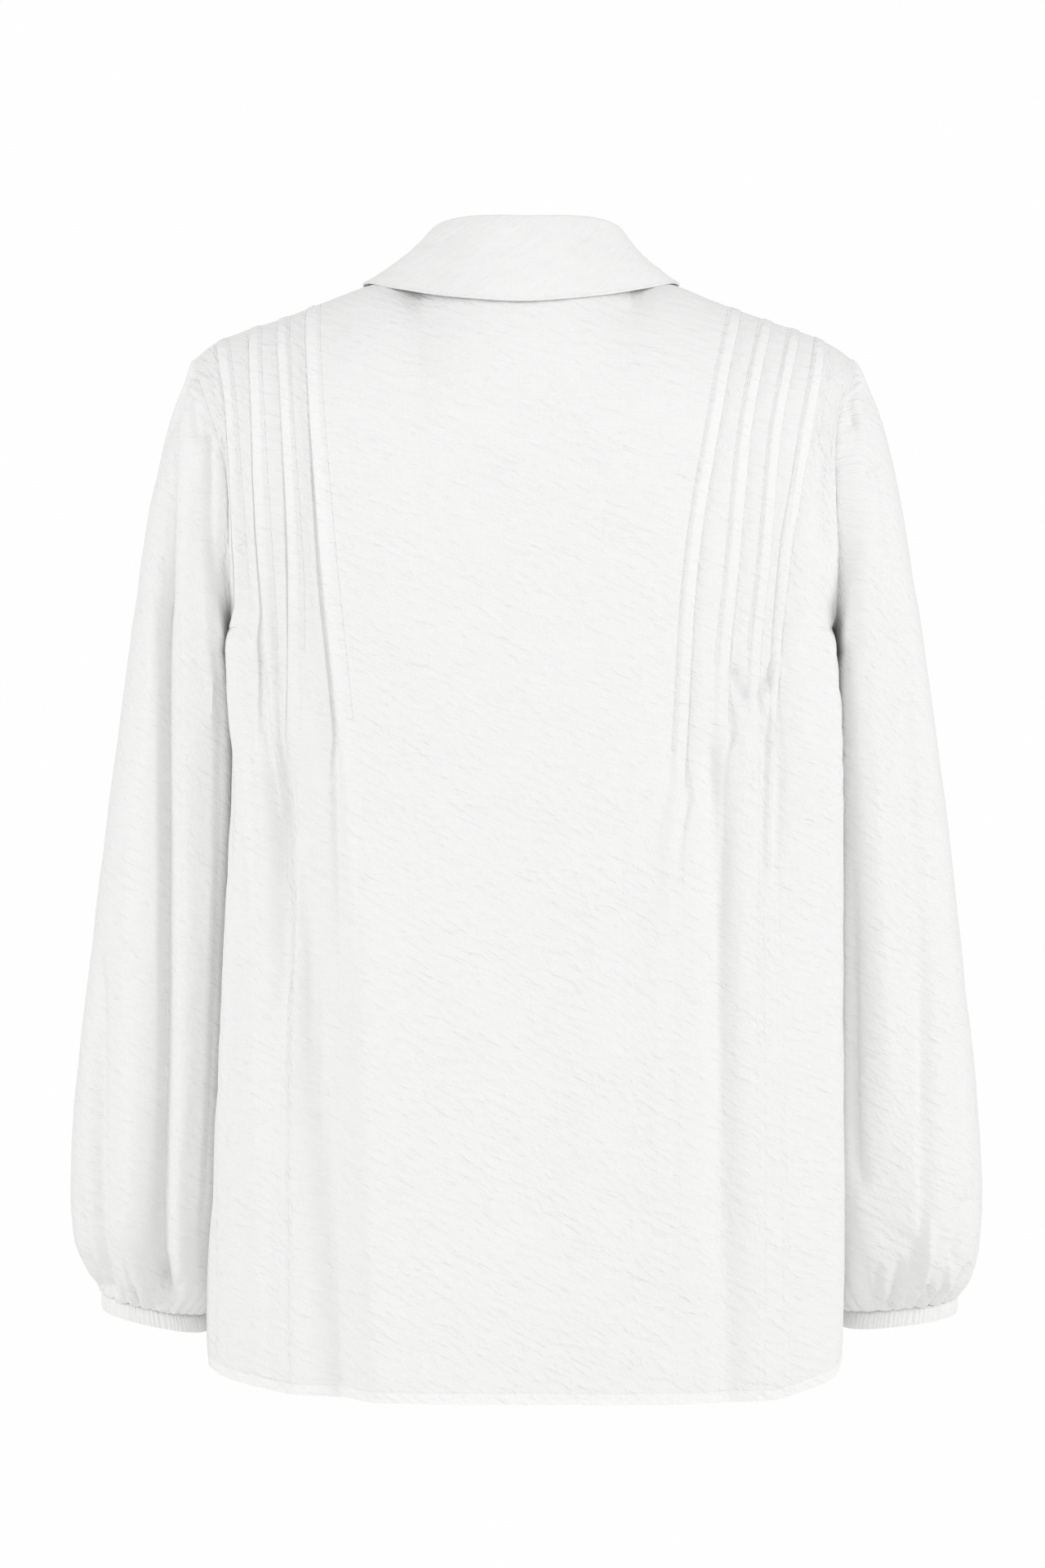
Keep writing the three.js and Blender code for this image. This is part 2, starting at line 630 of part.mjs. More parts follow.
const QUARTER_STEPS = 240;
const ROUND_CORNER = 2; // the power of a corner without a ledge
const SQUARE_CORNER = 8; // and of one with the whole ledge

// A place on a quarter of a rounded ring, its points evenly spaced along it: power 2 is an ellipse.
function quarter(half, depth, power, share) {
  const points = Array.from({ length: QUARTER_STEPS + 1 }, (_, i) => {
    const turn = (Math.PI * i) / (2 * QUARTER_STEPS);
    return new THREE.Vector2(half * Math.cos(turn) ** (2 / power), depth * Math.sin(turn) ** (2 / power));
  });
  const lengths = [0];
  for (let i = 1; i <= QUARTER_STEPS; i += 1) {
    lengths.push(lengths[i - 1] + points[i].distanceTo(points[i - 1]));
  }
  const along = share * lengths[QUARTER_STEPS];
  const i = Math.max(lengths.findIndex((length) => length >= along), 1);
  const t = (along - lengths[i - 1]) / (lengths[i] - lengths[i - 1]);
  return points[i - 1].clone().lerp(points[i], t);
}

// A point of a ring: theta runs from the inner side (0) over the back (90) and the outside (180). The
// ring may be drawn smaller all round.
function ringPoint(side, ring, theta, smaller = 0) {
  const [inner, outer, drop] = side === 1 ? ring.left : ring.right;
  const half = (outer - inner) / 2;
  const share = 1 - Math.abs(((2 * theta) / Math.PI) % 2 - 1);
  const outwards = Math.cos(theta) < 0;
  const behind = Math.sin(theta) > 0;
  const power = behind && !outwards ? ring.corner : ring.power;
  const place = quarter(half - smaller, ring.depth - smaller, power, share);
  if (behind && !outwards) {
    const { from, to, sunk } = SLEEVE_LEDGE[side];
    const square = (ring.corner - ROUND_CORNER) / (SQUARE_CORNER - ROUND_CORNER);
    place.y *= 1 - sunk * square * (1 - smooth(half - place.x, from, to));
  }
  const across = outwards ? place.x : -place.x;
  const y = ring.middle + (behind ? place.y : -place.y);
  return new THREE.Vector3(side * (inner + half + across), y, -ring.down + (drop * across) / half / 2);
}

// The armhole's outer and inner edge, half a turn up the back and half a turn down the front.
function armholeRing(side, front) {
  const backColumn = side === 1 ? back[0].length - 1 : 0;
  const edge = (node) => [moved(node, node.fold + node.lift), moved(node, node.fold - CLOTH)];
  const behind = back.slice(0, ARMHOLE_ROWS + 1).map((row) => edge(row[backColumn]));
  const before = front.slice(0, ARMHOLE_ROWS + 1).map((row) => edge(row[row.length - 1]));
  const shared = (row) => [0, 1].map((layer) => behind[row][layer].clone().lerp(before[row][layer], 0.5));
  const last = ARMHOLE_ROWS;
  return [shared(last), ...behind.slice(1, last).reverse(), shared(0), ...before.slice(1, last)];
}

const ARM_BEYOND = 60; // how far outside the armhole a point surely lies in the sleeve
const SLEEVE_GAP = SEAM_GAP + 0.05; // the chords of the two edges differ by less than this extra

// The sleeve's first ring stands a seam gap off the armhole edge, along the cloth of the body.
function seamRing(side, ring) {
  const beyond = ring
    .reduce((sum, [outer]) => sum.add(outer), new THREE.Vector3())
    .divideScalar(ring.length)
    .add(new THREE.Vector3(side * ARM_BEYOND, 0, 0));
  return ring.map(([outer, inner], i) => {
    const next = ring[(i + 1) % ring.length][0];
    const previous = ring[(i + ring.length - 1) % ring.length][0];
    const off = next.clone().sub(previous).cross(outer.clone().sub(inner)).normalize();
    if (off.dot(beyond.clone().sub(outer)) < 0) off.negate();
    return [outer, inner].map((point) => point.clone().addScaledVector(off, SLEEVE_GAP));
  });
}

// Normals of a round grid of points, pointing away from the middle of each ring.
function ringNormals(grid) {
  return grid.map((ring, row) => {
    const middle = ring.reduce((sum, p) => sum.add(p), new THREE.Vector3()).divideScalar(ring.length);
    const above = grid[Math.max(row - 1, 0)];
    const below = grid[Math.min(row + 1, grid.length - 1)];
    return ring.map((point, i) => {
      const around = ring[(i + 1) % ring.length].clone().sub(ring[(i + ring.length - 1) % ring.length]);
      const normal = below[i].clone().sub(above[i]).cross(around).normalize();
      return normal.dot(point.clone().sub(middle)) < 0 ? normal.negate() : normal;
    });
  });
}

function sleeveFoldLift(side, theta, down) {
  const around = THREE.MathUtils.radToDeg(theta);
  return SLEEVE_FOLDS.filter((fold) => fold.side !== -side).reduce((sum, fold) => {
    const along = (down - fold.topDown) / (fold.lowDown - fold.topDown);
    if (along <= 0 || along >= 1) return sum;
    const away = (around - fold.around) / fold.spread;
    const grow = smooth(along, 0, FOLD_ENDS.top) * (1 - smooth(along, 1 - FOLD_ENDS.low, 1));
    return sum + fold.lift * grow * Math.exp(-away * away);
  }, 0);
}

function sleeveSolid(side, front) {
  const seam = seamRing(side, armholeRing(side, front));
  const thetas = seam.map((_, i) => (2 * Math.PI * i) / seam.length);
  const rings = [
    seam.map(([outer]) => outer),
    ...SLEEVE_RINGS.map((ring) => thetas.map((theta) => ringPoint(side, ring, theta))),
  ];
  const normals = ringNormals(rings);
  const offset = (distance) => (ring, row) =>
    ring.map((point, i) => {
      const lift = row ? sleeveFoldLift(side, thetas[i], -point.z) : 0;
      return point.clone().addScaledVector(normals[row][i], lift - distance);
    });
  const outer = rings.map(offset(0));
  const inner = rings.map(offset(CLOTH));
  inner[0] = seam.map(([, point]) => point);
  return wallGeometry(outer, inner, true);
}

function cuffSolid(side) {
  const thetas = Array.from({ length: CUFF_PARTS_AROUND }, (_, i) => (2 * Math.PI * i) / CUFF_PARTS_AROUND);
  const outer = CUFF_RINGS.map((ring) => thetas.map((theta) => ringPoint(side, ring, theta)));
  const inner = CUFF_RINGS.map((ring) => thetas.map((theta) => ringPoint(side, ring, theta, CUFF_WALL)));
  return wallGeometry(outer, inner, true);
}

// ---- Collar ----

const standLean = curve(STAND_SHAPE, "turn", "lean");
const standHeight = curve(STAND_SHAPE, "turn", "height");

// The neck seam and the direction out of it, by turn from the centre back (0) to the centre front (180).
function neckPoint(side, turn) {
  const face = turn < 90 ? BACK : FRONT;
  const x = side * NECK.halfWidth * Math.sin(radians(turn));
  const y = face.neck * Math.cos(radians(turn));
  return new THREE.Vector3(x, y, -topDown(face, x));
}

function neckOut(side, turn) {
  return new THREE.Vector3(side * Math.sin(radians(turn)), Math.cos(radians(turn)), 0);
}

function standPoint(side, turn, share, out = 0) {
  const height = mix(STAND.lift, standHeight(turn), share);
  const lap = side === -1 ? STAND.lapLift * smooth(turn, STAND.lapFrom, STAND.lapFull) : 0;
  const point = neckPoint(side, turn).add(new THREE.Vector3(0, -STAND.tilt * height, height));
  return point.addScaledVector(neckOut(side, turn), out + lap - share * standLean(turn));
}

// Runs a function round the neck, from the right end over the back to the left end, at the places of
// the panels' own points and at the ends.
function roundNeck(lastTurn, make) {
  const step = 90 / NECK_PARTS;
  const count = Math.ceil(Math.min(lastTurn, 180 + 1) / step); // none between the centre front and a lap
  const turns = Array.from({ length: count }, (_, i) => i * step);
  turns.push(lastTurn);
  return [
    ...turns.slice(1).reverse().map((turn) => make(-1, turn)),
    ...turns.map((turn) => make(1, turn)),
  ];
}

function standSolid() {
  const layer = (out) =>
    [0, 0.5, 1].map((share) =>
      roundNeck(180 + STAND.lapTurn, (side, turn) => standPoint(side, turn, share, out)),
    );
  return wallGeometry(layer(0), layer(-CLOTH), false);
}

const collarOut = curve(COLLAR_EDGE, "turn", "out");
const collarBack = curve(COLLAR_EDGE, "turn", "back");
const collarDown = curve(COLLAR_EDGE, "turn", "down");
const collarBulge = curve(COLLAR_EDGE, "turn", "bulge");

function collarPoint(side, turn, row) {
  const place = COLLAR_ROLL[Math.min(row, COLLAR_ROLL.length - 1)];
  const rolled = standPoint(side, turn, 1, place.out).add(new THREE.Vector3(0, 0, place.up));
  const share = Math.max(row - COLLAR_ROLL.length + 1, 0) / COLLAR.rows;
  const x = side * collarOut(turn) + COLLAR.toLeft;
  const edge = new THREE.Vector3(x, collarBack(turn), -collarDown(turn));
  const bulge = collarBulge(turn) * Math.sin(Math.PI * share);
  return rolled.lerp(edge, share).addScaledVector(neckOut(side, turn), bulge);
}

function collarSolid() {
  const rowCount = COLLAR_ROLL.length + COLLAR.rows;
  const step = 0.5;
  const layer = (distance) =>
    Array.from({ length: rowCount }, (_, row) =>
      roundNeck(COLLAR.lastTurn, (side, turn) => {
        const point = collarPoint(side, turn, row);
        const above = collarPoint(side, turn, Math.max(row - 1, 0));
        const below = collarPoint(side, turn, Math.min(row + 1, rowCount - 1));
        const around = collarPoint(side, turn + step, row).sub(collarPoint(side, turn - step, row));
        const normal = below.sub(above).cross(around).multiplyScalar(side).normalize();
        return point.addScaledVector(normal, -distance);
      }),
    );
  return wallGeometry(layer(0), layer(CLOTH), false);
}

// ---- Placket and buttons ----

function placketSolid(front) {
  const strip = front.map((row) => row.slice(0, 3));
  const layer = (distance) => strip.map((row) => row.map((node) => moved(node, node.fold + distance)));
  return wallGeometry(layer(SEAM_GAP + CLOTH), layer(SEAM_GAP), false);
}

function buttonGeometry() {
  const { radius, thickness, bevel, rim, dish, parts } = BUTTON;
  const profile = [
    [0, 0],
    [radius - bevel, 0],
    [radius, bevel],
    [radius - bevel, thickness],
    [radius - bevel - rim, thickness - dish],
    [0, thickness - dish],
  ].map(([x, y]) => new THREE.Vector2(x, y));
  const lathe = new THREE.LatheGeometry(profile, parts);
  lathe.deleteAttribute("normal");
  lathe.deleteAttribute("uv");
  return mergeVertices(lathe);
}

function button(name, place, facing) {
  const mesh = piece(name, buttonGeometry(), buttonMaterial());
  mesh.position.copy(place);
  mesh.quaternion.setFromUnitVectors(new THREE.Vector3(0, 1, 0), facing);
  return mesh;
}

const ALMOST_CENTRE = 0.01; // degrees: at 0 itself the right half has no side

function frontButton(name, down) {
  const normal = bodyNormal(FRONT, -1, ALMOST_CENTRE, down, false);
  const out = PLACKET.lift + 2 * SEAM_GAP + CLOTH;
  return button(name, bodyPoint(FRONT, -1, ALMOST_CENTRE, down).addScaledVector(normal, out), normal);
}

function standButton(name) {
  const low = standPoint(-1, 180, 0.2);
  const high = standPoint(-1, 180, 0.8);
  const facing = high.clone().sub(low).cross(new THREE.Vector3(1, 0, 0)).normalize();
  if (facing.y > 0) facing.negate();
  return button(name, low.lerp(high, 0.5).addScaledVector(facing, SEAM_GAP), facing);
}

// ---- The garment ----

const back = backGrid();
const frontLeft = frontGrid(1);
const frontRight = frontGrid(-1);

const blouse = new THREE.Group();
blouse.add(piece("back", panelSolid(back)));
blouse.add(piece("front_left", panelSolid(frontLeft)));
blouse.add(piece("front_right", panelSolid(frontRight)));
blouse.add(piece("placket", placketSolid(frontRight)));
blouse.add(piece("sleeve_left", sleeveSolid(1, frontLeft)));
blouse.add(piece("sleeve_right", sleeveSolid(-1, frontRight)));
blouse.add(piece("cuff_left", cuffSolid(1)));
blouse.add(piece("cuff_right", cuffSolid(-1)));
blouse.add(piece("collar_stand", standSolid()));
blouse.add(piece("collar_fall", collarSolid()));
blouse.add(standButton("button_collar"));
for (let i = 0; i < BUTTON_ROW.count; i += 1) {
  const down = mix(BUTTON_ROW.first, BUTTON_ROW.last, i / (BUTTON_ROW.count - 1));
  blouse.add(frontButton(`button_${i + 1}`, down));
}

export default blouse;
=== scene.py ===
import math

import bpy
import numpy as np
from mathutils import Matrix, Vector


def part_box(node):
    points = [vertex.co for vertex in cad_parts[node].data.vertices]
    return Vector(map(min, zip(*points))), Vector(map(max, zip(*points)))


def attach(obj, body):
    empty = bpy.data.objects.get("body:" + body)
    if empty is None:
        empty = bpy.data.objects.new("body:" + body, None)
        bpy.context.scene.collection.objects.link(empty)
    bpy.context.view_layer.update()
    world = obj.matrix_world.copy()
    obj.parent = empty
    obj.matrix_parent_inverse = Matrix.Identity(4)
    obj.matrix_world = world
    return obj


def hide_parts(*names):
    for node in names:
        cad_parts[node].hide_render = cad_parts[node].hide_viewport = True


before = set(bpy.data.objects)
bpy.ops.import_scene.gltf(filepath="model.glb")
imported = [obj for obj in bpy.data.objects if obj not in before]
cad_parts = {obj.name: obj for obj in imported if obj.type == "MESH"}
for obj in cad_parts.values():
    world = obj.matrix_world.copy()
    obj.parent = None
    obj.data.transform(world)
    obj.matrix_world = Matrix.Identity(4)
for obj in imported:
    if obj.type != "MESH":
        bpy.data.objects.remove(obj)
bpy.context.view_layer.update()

MM = 0.001  # the sizes below are a cutter's millimetres; the scene is in metres

# Places are given by x to the wearer's left or by distance from the centre, by y backwards, and by how far
# down they lie from the side neck points. A side is 1 for the wearer's left and -1 for the right.

# ---------------------------------------------------------------------------------------------------
# Studio: a pale round floor far below, where the wearer's feet would be, a white surround, and broad
# soft lights behind, above and beside the blouse. The camera stands level, 2 m behind the back.

CAMERA = {"left": 0.0026, "away": 2.0, "down": 0.318, "film": 36, "lens": 72.5}
FLOOR = {"down": 1.4, "radius": 1.9}
LIT_DOWN = 0.33  # the height the lights point at, about the blouse's middle
SURROUND = {"seen": 0.992, "lighting": 0.67}

bpy.ops.object.select_all(action="DESELECT")
bpy.ops.object.camera_add(location=(CAMERA["left"], CAMERA["away"], -CAMERA["down"]),
                          rotation=(math.pi / 2, 0, math.pi))
camera = bpy.context.object
camera.name = "camera"
camera.data.sensor_width = CAMERA["film"]
camera.data.lens = CAMERA["lens"]
bpy.context.scene.camera = camera

bpy.ops.mesh.primitive_circle_add(vertices=96, radius=FLOOR["radius"], fill_type="NGON",
                                  location=(0, 0, -FLOOR["down"]))
floor = bpy.context.object
floor.name = "floor"
bpy.ops.object.transform_apply(location=True)
floor_paint = bpy.data.materials.new("floor_paint")
floor_paint.use_nodes = True
floor_shader = floor_paint.node_tree.nodes["Principled BSDF"]
floor_shader.inputs["Base Color"].default_value = (0.86, 0.86, 0.85, 1)
floor_shader.inputs["Roughness"].default_value = 0.8
floor.data.materials.append(floor_paint)

SOFT_LIGHTS = [
    {"name": "behind", "place": (0.0, 2.9, 0.0), "size": 1.3, "power": 11},
    {"name": "right_behind", "place": (-2.3, 1.25, 0.35), "size": 1.2, "power": 20},
    {"name": "left_behind", "place": (2.3, 1.25, 0.35), "size": 1.2, "power": 17},
    {"name": "before", "place": (0.6, -2.4, 0.5), "size": 1.6, "power": 16},
]
for light in SOFT_LIGHTS:
    bpy.ops.object.light_add(type="AREA", location=light["place"])
    lamp = bpy.context.object
    lamp.name = light["name"]
    lamp.data.shape = "DISK"
    lamp.data.size = light["size"]
    lamp.data.energy = light["power"]
    x, y, z = light["place"]
    lamp.rotation_euler = (math.atan2(math.hypot(x, y), z + LIT_DOWN), 0, math.atan2(x, -y))

world = bpy.context.scene.world or bpy.data.worlds.new("surround")
bpy.context.scene.world = world
world.use_nodes = True
surround = world.node_tree
surround.nodes.clear()
seen = surround.nodes.new("ShaderNodeBackground")
seen.inputs["Color"].default_value = (*[SURROUND["seen"]] * 3, 1)
lighting = surround.nodes.new("ShaderNodeBackground")
lighting.inputs["Color"].default_value = (1, 1, 1, 1)
lighting.inputs["Strength"].default_value = SURROUND["lighting"]
rays = surround.nodes.new("ShaderNodeLightPath")
pick = surround.nodes.new("ShaderNodeMixShader")
surface = surround.nodes.new("ShaderNodeOutputWorld")
surround.links.new(rays.outputs["Is Camera Ray"], pick.inputs[0])
surround.links.new(lighting.outputs[0], pick.inputs[1])
surround.links.new(seen.outputs[0], pick.inputs[2])
surround.links.new(pick.outputs[0], surface.inputs[0])
bpy.context.scene.view_settings.view_transform = "Standard"

# ---------------------------------------------------------------------------------------------------
# Back: one piece of white crinkled plain weave, cut without a yoke. Four narrow tucks are folded and
# stitched on each shoulder; their free edges face the sleeves, and lower down they open into folds.

SHOULDER_TIP = 48.0
UNDERARM = 222.0
HEM_LEVEL = 690.0
ROUNDNESS = 3.0  # of a level section through the body: 2 is elliptical, more is squarer
NECK = {"half_width": 66.0, "back": 62.0, "front": 69.0, "rise": 41.0}
BACK_HEM = -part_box("back")[0][2] / MM
FRONT_RISE = 8.0  # of the hem at the centre front
HEM_DEEP = 6.5
HEM_OUT = 198.0  # the hem's end, from the centre
HEM_THICK = 1.35  # of a panel at its turned hem, three layers
CLOTH = 0.55  # thickness of one layer
FAR = 30.0  # a distance at which stitching no longer shows
SHARP_OVER = 55  # degrees between faces

# Below the underarm the back's side edges roll over the sleeves: how far a roll stands back and reaches
# sideways, the shares of the half width it rises and falls over, the heights it starts and widens over,
# and how far the plain edge beneath it is set in.
EDGE_FOLD = {"stand": 11.0, "over": 10.5, "rises": (0.8, 0.955), "falls": (0.965, 0.985),
             "starts": (206, 236), "first_over": 0.6, "widens": (232, 290),
             "inset": 2.5, "sets_in": (225, 300)}

# The shoulder seams, as (distance from the centre, down); the right shoulder slopes a little more.
SHOULDER_LINES = {
    1: [(66, 0), (92, 1.4), (101, 3.2), (108, 5.6), (115, 8.3), (155, 24), (180, 32), (198, 40), (208, 48)],
    -1: [(66, 0), (90, 2), (99, 4.6), (108, 8.4), (115, 11.4), (130, 17.2), (155, 26), (180, 34.6), (195, 42),
         (203, 48)],
}
# The hem of the back, as (to the left of the centre, above its lowest point).
HEM_RISE = [(-198, 22), (-184, 21), (-181.5, 14), (-179, 11), (-176, 9), (-168, 6), (-150, -0.5),
            (-125, -1.5), (-100, 0), (95, 1.5), (125, 3), (148, 4), (167, 8), (175.5, 11), (180, 13),
            (183, 15), (198, 17)]


def table(columns, *rows):
    """Rows with named columns; a row may leave out its last ones."""
    return [dict(zip(columns.split(), row)) for row in rows]


# The armholes' distance from the centre, the body's greatest depth behind and before the side line, and
# the sides with how far round towards the front each side seam lies, in degrees; all against down.
ARMHOLE = table(
    "down left right",
    (48, 208, 203),
    (58, 206.5, 203.5),
    (70, 202, 202),
    (86, 196, 194),
    (104, 190, 190),
    (122, 185.5, 189.5),
    (140, 183, 190),
    (170, 182.5, 191),
    (222, 183, 191.5),
)
DEPTHS = table(
    "down back front",
    (-30, 80, 68),
    (0, 84, 74),
    (60, 92, 84),
    (150, 98, 104),
    (250, 99, 120),
    (400, 102, 118),
    (550, 107, 119),
    (700, 112, 121),
)
SIDES = table(
    "down left right left_seam right_seam",
    (222, 182.5, 191.5, 0, 0),
    (270, 181.5, 192.8, 2, 9),
    (340, 182.8, 193.7, 4, 17),
    (450, 186.5, 193.7, 5, 14),
    (550, 191.2, 193.7, 5, 10),
    (640, 195.2, 193.6, 5, 9),
    (700, 192.5, 190, 5, 9),
)


def curve(pairs):
    """A smooth curve through pairs of a place and the value there, level beyond its ends."""
    at, reads = (np.array(part, float) for part in zip(*pairs))
    before = np.maximum(np.arange(len(at)) - 1, 0)
    after = np.minimum(np.arange(len(at)) + 1, len(at) - 1)
    slopes = (reads[after] - reads[before]) / (at[after] - at[before])

    def read(where):
        where = np.clip(where, at[0], at[-1])
        i = np.clip(np.searchsorted(at, where, side="right") - 1, 0, len(at) - 2)
        span = at[i + 1] - at[i]
        t = (where - at[i]) / span
        ease = t * t * (3 - 2 * t)
        leave = t * (1 - t) ** 2 * span * slopes[i]
        arrive = t * t * (t - 1) * span * slopes[i + 1]
        return reads[i] + (reads[i + 1] - reads[i]) * ease + leave + arrive

    return read


def table_curve(rows, value, place="down"):
    """The curve through one column of a table against another."""
    return curve([(row[place], row[value]) for row in rows])


def smooth(value, start, end):
    t = np.clip((np.asarray(value, float) - start) / (end - start), 0, 1)
    return t * t * (3 - 2 * t)


def mix(a, b, share):
    return a + (b - a) * share


shoulder_down = {side: curve(pairs) for side, pairs in SHOULDER_LINES.items()}
hem_rise = curve(HEM_RISE)
armhole_out = {1: table_curve(ARMHOLE, "left"), -1: table_curve(ARMHOLE, "right")}
side_half_width = {1: table_curve(SIDES, "left"), -1: table_curve(SIDES, "right")}
seam_turn = {1: table_curve(SIDES, "left_seam"), -1: table_curve(SIDES, "right_seam")}

# The two faces of the body: sign of y, depth against down, the height over which a section reaches that
# depth below the shoulder, the armhole's reach from the side line and its squareness under the arm.
BACK = {"sign": 1, "depth": table_curve(DEPTHS, "back"), "neck": NECK["back"], "arm_reach": 62,
        "under_arm": 3.2, "drop": lambda x: 120 + 0 * x}
FRONT = {"sign": -1, "depth": table_curve(DEPTHS, "front"), "neck": NECK["front"], "arm_reach": 56,
         "under_arm": 2, "drop": lambda x: mix(230, 120, smooth(np.abs(x), 60, 150))}


def ridge_down(x):
    """Height of the line where back and front meet over the shoulder; inside the neck only a guide."""
    out = np.abs(x)
    inside = -NECK["rise"] * np.maximum(1 - (out / NECK["half_width"]) ** 2, 0) ** 1.1
    outside = np.where(np.asarray(x) >= 0, shoulder_down[1](out), shoulder_down[-1](out))
    return np.where(out >= NECK["half_width"], outside, inside)


def arch(t):
    """A quarter circle's height, from 0 to 1."""
    return np.sqrt(1 - (1 - np.clip(t, 0, 1)) ** 2)


def section_half_width(face, side, down):
    """Half the width of a level section, set so that the armhole lies on it down to the underarm."""
    level = np.clip(down, SHOULDER_TIP + 0.5, UNDERARM)
    height = (level - (UNDERARM + SHOULDER_TIP) / 2) / ((UNDERARM - SHOULDER_TIP) / 2)
    squareness = np.where(height > 0, face["under_arm"], 2)
    reach = face["arm_reach"] * np.maximum(1 - np.abs(height) ** squareness, 0) ** (1 / squareness)
    depth = face["depth"](level) * arch((level - SHOULDER_TIP) / face["drop"](armhole_out[side](level)))
    share = (1 - (reach / depth) ** ROUNDNESS) ** (1 / ROUNDNESS)
    beside = side_half_width[side](down) - EDGE_FOLD["inset"] * smooth(down, *EDGE_FOLD["sets_in"])
    return np.where(down >= UNDERARM, beside, armhole_out[side](level) / share)


def angle_at(face, side, x, down):
    """The angle round the section that lies at x from the centre plane."""
    share = np.minimum(np.abs(x) / section_half_width(face, side, down), 1)
    return np.sign(x) * np.degrees(np.arcsin(share ** (ROUNDNESS / 2)))


def edge_angle(face, side, down):
    """The angle of a panel's edge: the armhole, and below it the side seam."""
    level = np.maximum(down, SHOULDER_TIP)
    above = angle_at(face, side, armhole_out[side](level), level)
    return np.where(down < UNDERARM, above, 90 - face["sign"] * seam_turn[side](down))


def edge_fold(share, down):
    """How much of the side edge's roll there is, by share of the half width and by height."""
    across = smooth(share, *EDGE_FOLD["rises"]) - smooth(share, *EDGE_FOLD["falls"])
    return across * smooth(down, *EDGE_FOLD["starts"])


def body_point(face, side, angle, down):
    """A point of the blouse's round form: angle 0 at the centre line, 90 at the side, then the other face."""
    over = angle > 90
    turn = np.radians(np.where(over, 180 - angle, np.abs(angle)))
    other = FRONT if face is BACK else BACK
    points = []
    for one in (face, other):
        share = np.sin(turn) ** (2 / ROUNDNESS)
        x = side * np.sign(angle) * share * section_half_width(one, side, down)
        depth = one["depth"](down) * arch((down - ridge_down(x)) / one["drop"](x))
        y = one["sign"] * depth * np.maximum(np.cos(turn), 0) ** (2 / ROUNDNESS)
        if one is BACK:
            fold = edge_fold(share, down)
            sideways = EDGE_FOLD["over"] * mix(EDGE_FOLD["first_over"], 1, smooth(down, *EDGE_FOLD["widens"]))
            x, y = x + side * sideways * fold, y + EDGE_FOLD["stand"] * fold
        points.append(np.stack([x, y, -down + 0 * x], -1))
    return np.where(over[..., None], points[1], points[0])


def body_normal(face, side, angle, down):
    step = 0.4  # degrees
    higher = np.maximum(down - 1, ridge_down(body_point(face, side, angle, down)[..., 0]) + 0.02)
    along = body_point(face, side, angle, down + 1) - body_point(face, side, angle, higher)
    around = body_point(face, side, angle + step, down) - body_point(face, side, angle - step, down)
    normal = -side * face["sign"] * np.cross(along, around)
    return normal / np.maximum(np.linalg.norm(normal, axis=-1, keepdims=True), 1e-9)


def top_down(face, x):
    """Where a panel begins: on the neck seam inside the neck, on the shoulder seam outside it."""
    x = np.asarray(x, float)
    out = np.minimum(np.abs(x), NECK["half_width"])
    wanted = face["neck"] * np.sqrt(1 - (out / NECK["half_width"]) ** 2)
    down = ridge_down(x)
    for _ in range(8):
        share = np.minimum(wanted / face["depth"](down), 0.999)
        down = ridge_down(x) + face["drop"](x) * (1 - np.sqrt(1 - share**2))
    return down


# Each tuck's line from its place on the shoulder seam, as (down, distance from the centre), with the
# heights at which its stitching ends, its section has opened and its fold has faded, and how far its
# free edge gapes and between which heights.
TUCKS = table(
    "side top stitched flat_down fade_down gape_top gape_from gape_down gape line",
    (1, 138, 280, 328, 470, 0.15, 50, 215, 1.25, [(88, 132), (183, 124), (328, 111), (687, 106)]),
    (1, 156, 240, 338, 450, 0.15, 60, 240, 0.95, [(88, 149.5), (183, 144), (338, 145), (687, 140)]),
    (1, 173.5, 240, 320, 480, 0.15, 60, 200, 1.3,
     [(88, 168), (183, 162), (303, 151), (363, 148), (687, 146)]),
    (1, 195, 200, 320, 420, 0.1, 70, 180, 1.9,
     [(87, 184.5), (183, 177), (240, 176.5), (300, 169), (340, 168.5), (687, 172)]),
    (-1, 135, 300, 330, 430, 0, 200, 290, 0.2,
     [(34, 131), (72, 122), (183, 103.5), (313, 95), (362, 88), (687, 84)]),
    (-1, 155, 250, 300, 440, 0, 190, 250, 0.3,
     [(35, 151.5), (72, 142), (108, 135.5), (183, 128.4), (254, 122), (687, 112)]),
    (-1, 172, 240, 290, 420, 0, 170, 245, 0.3,
     [(39, 169.5), (72, 161), (107, 154), (183, 147), (254, 141), (687, 136)]),
    (-1, 188, 250, 320, 430, 0, 170, 285, 0.4,
     [(48, 185), (70, 180.5), (106, 173), (183, 159.5), (338, 149), (687, 152)]),
)
NECK_LINE = {"top": 66, "line": [(183, 62), (330, 58), (687, 54)]}
FOLD_ROOM = 21.0  # between two tucks' lines; where they come closer, their sections are drawn in

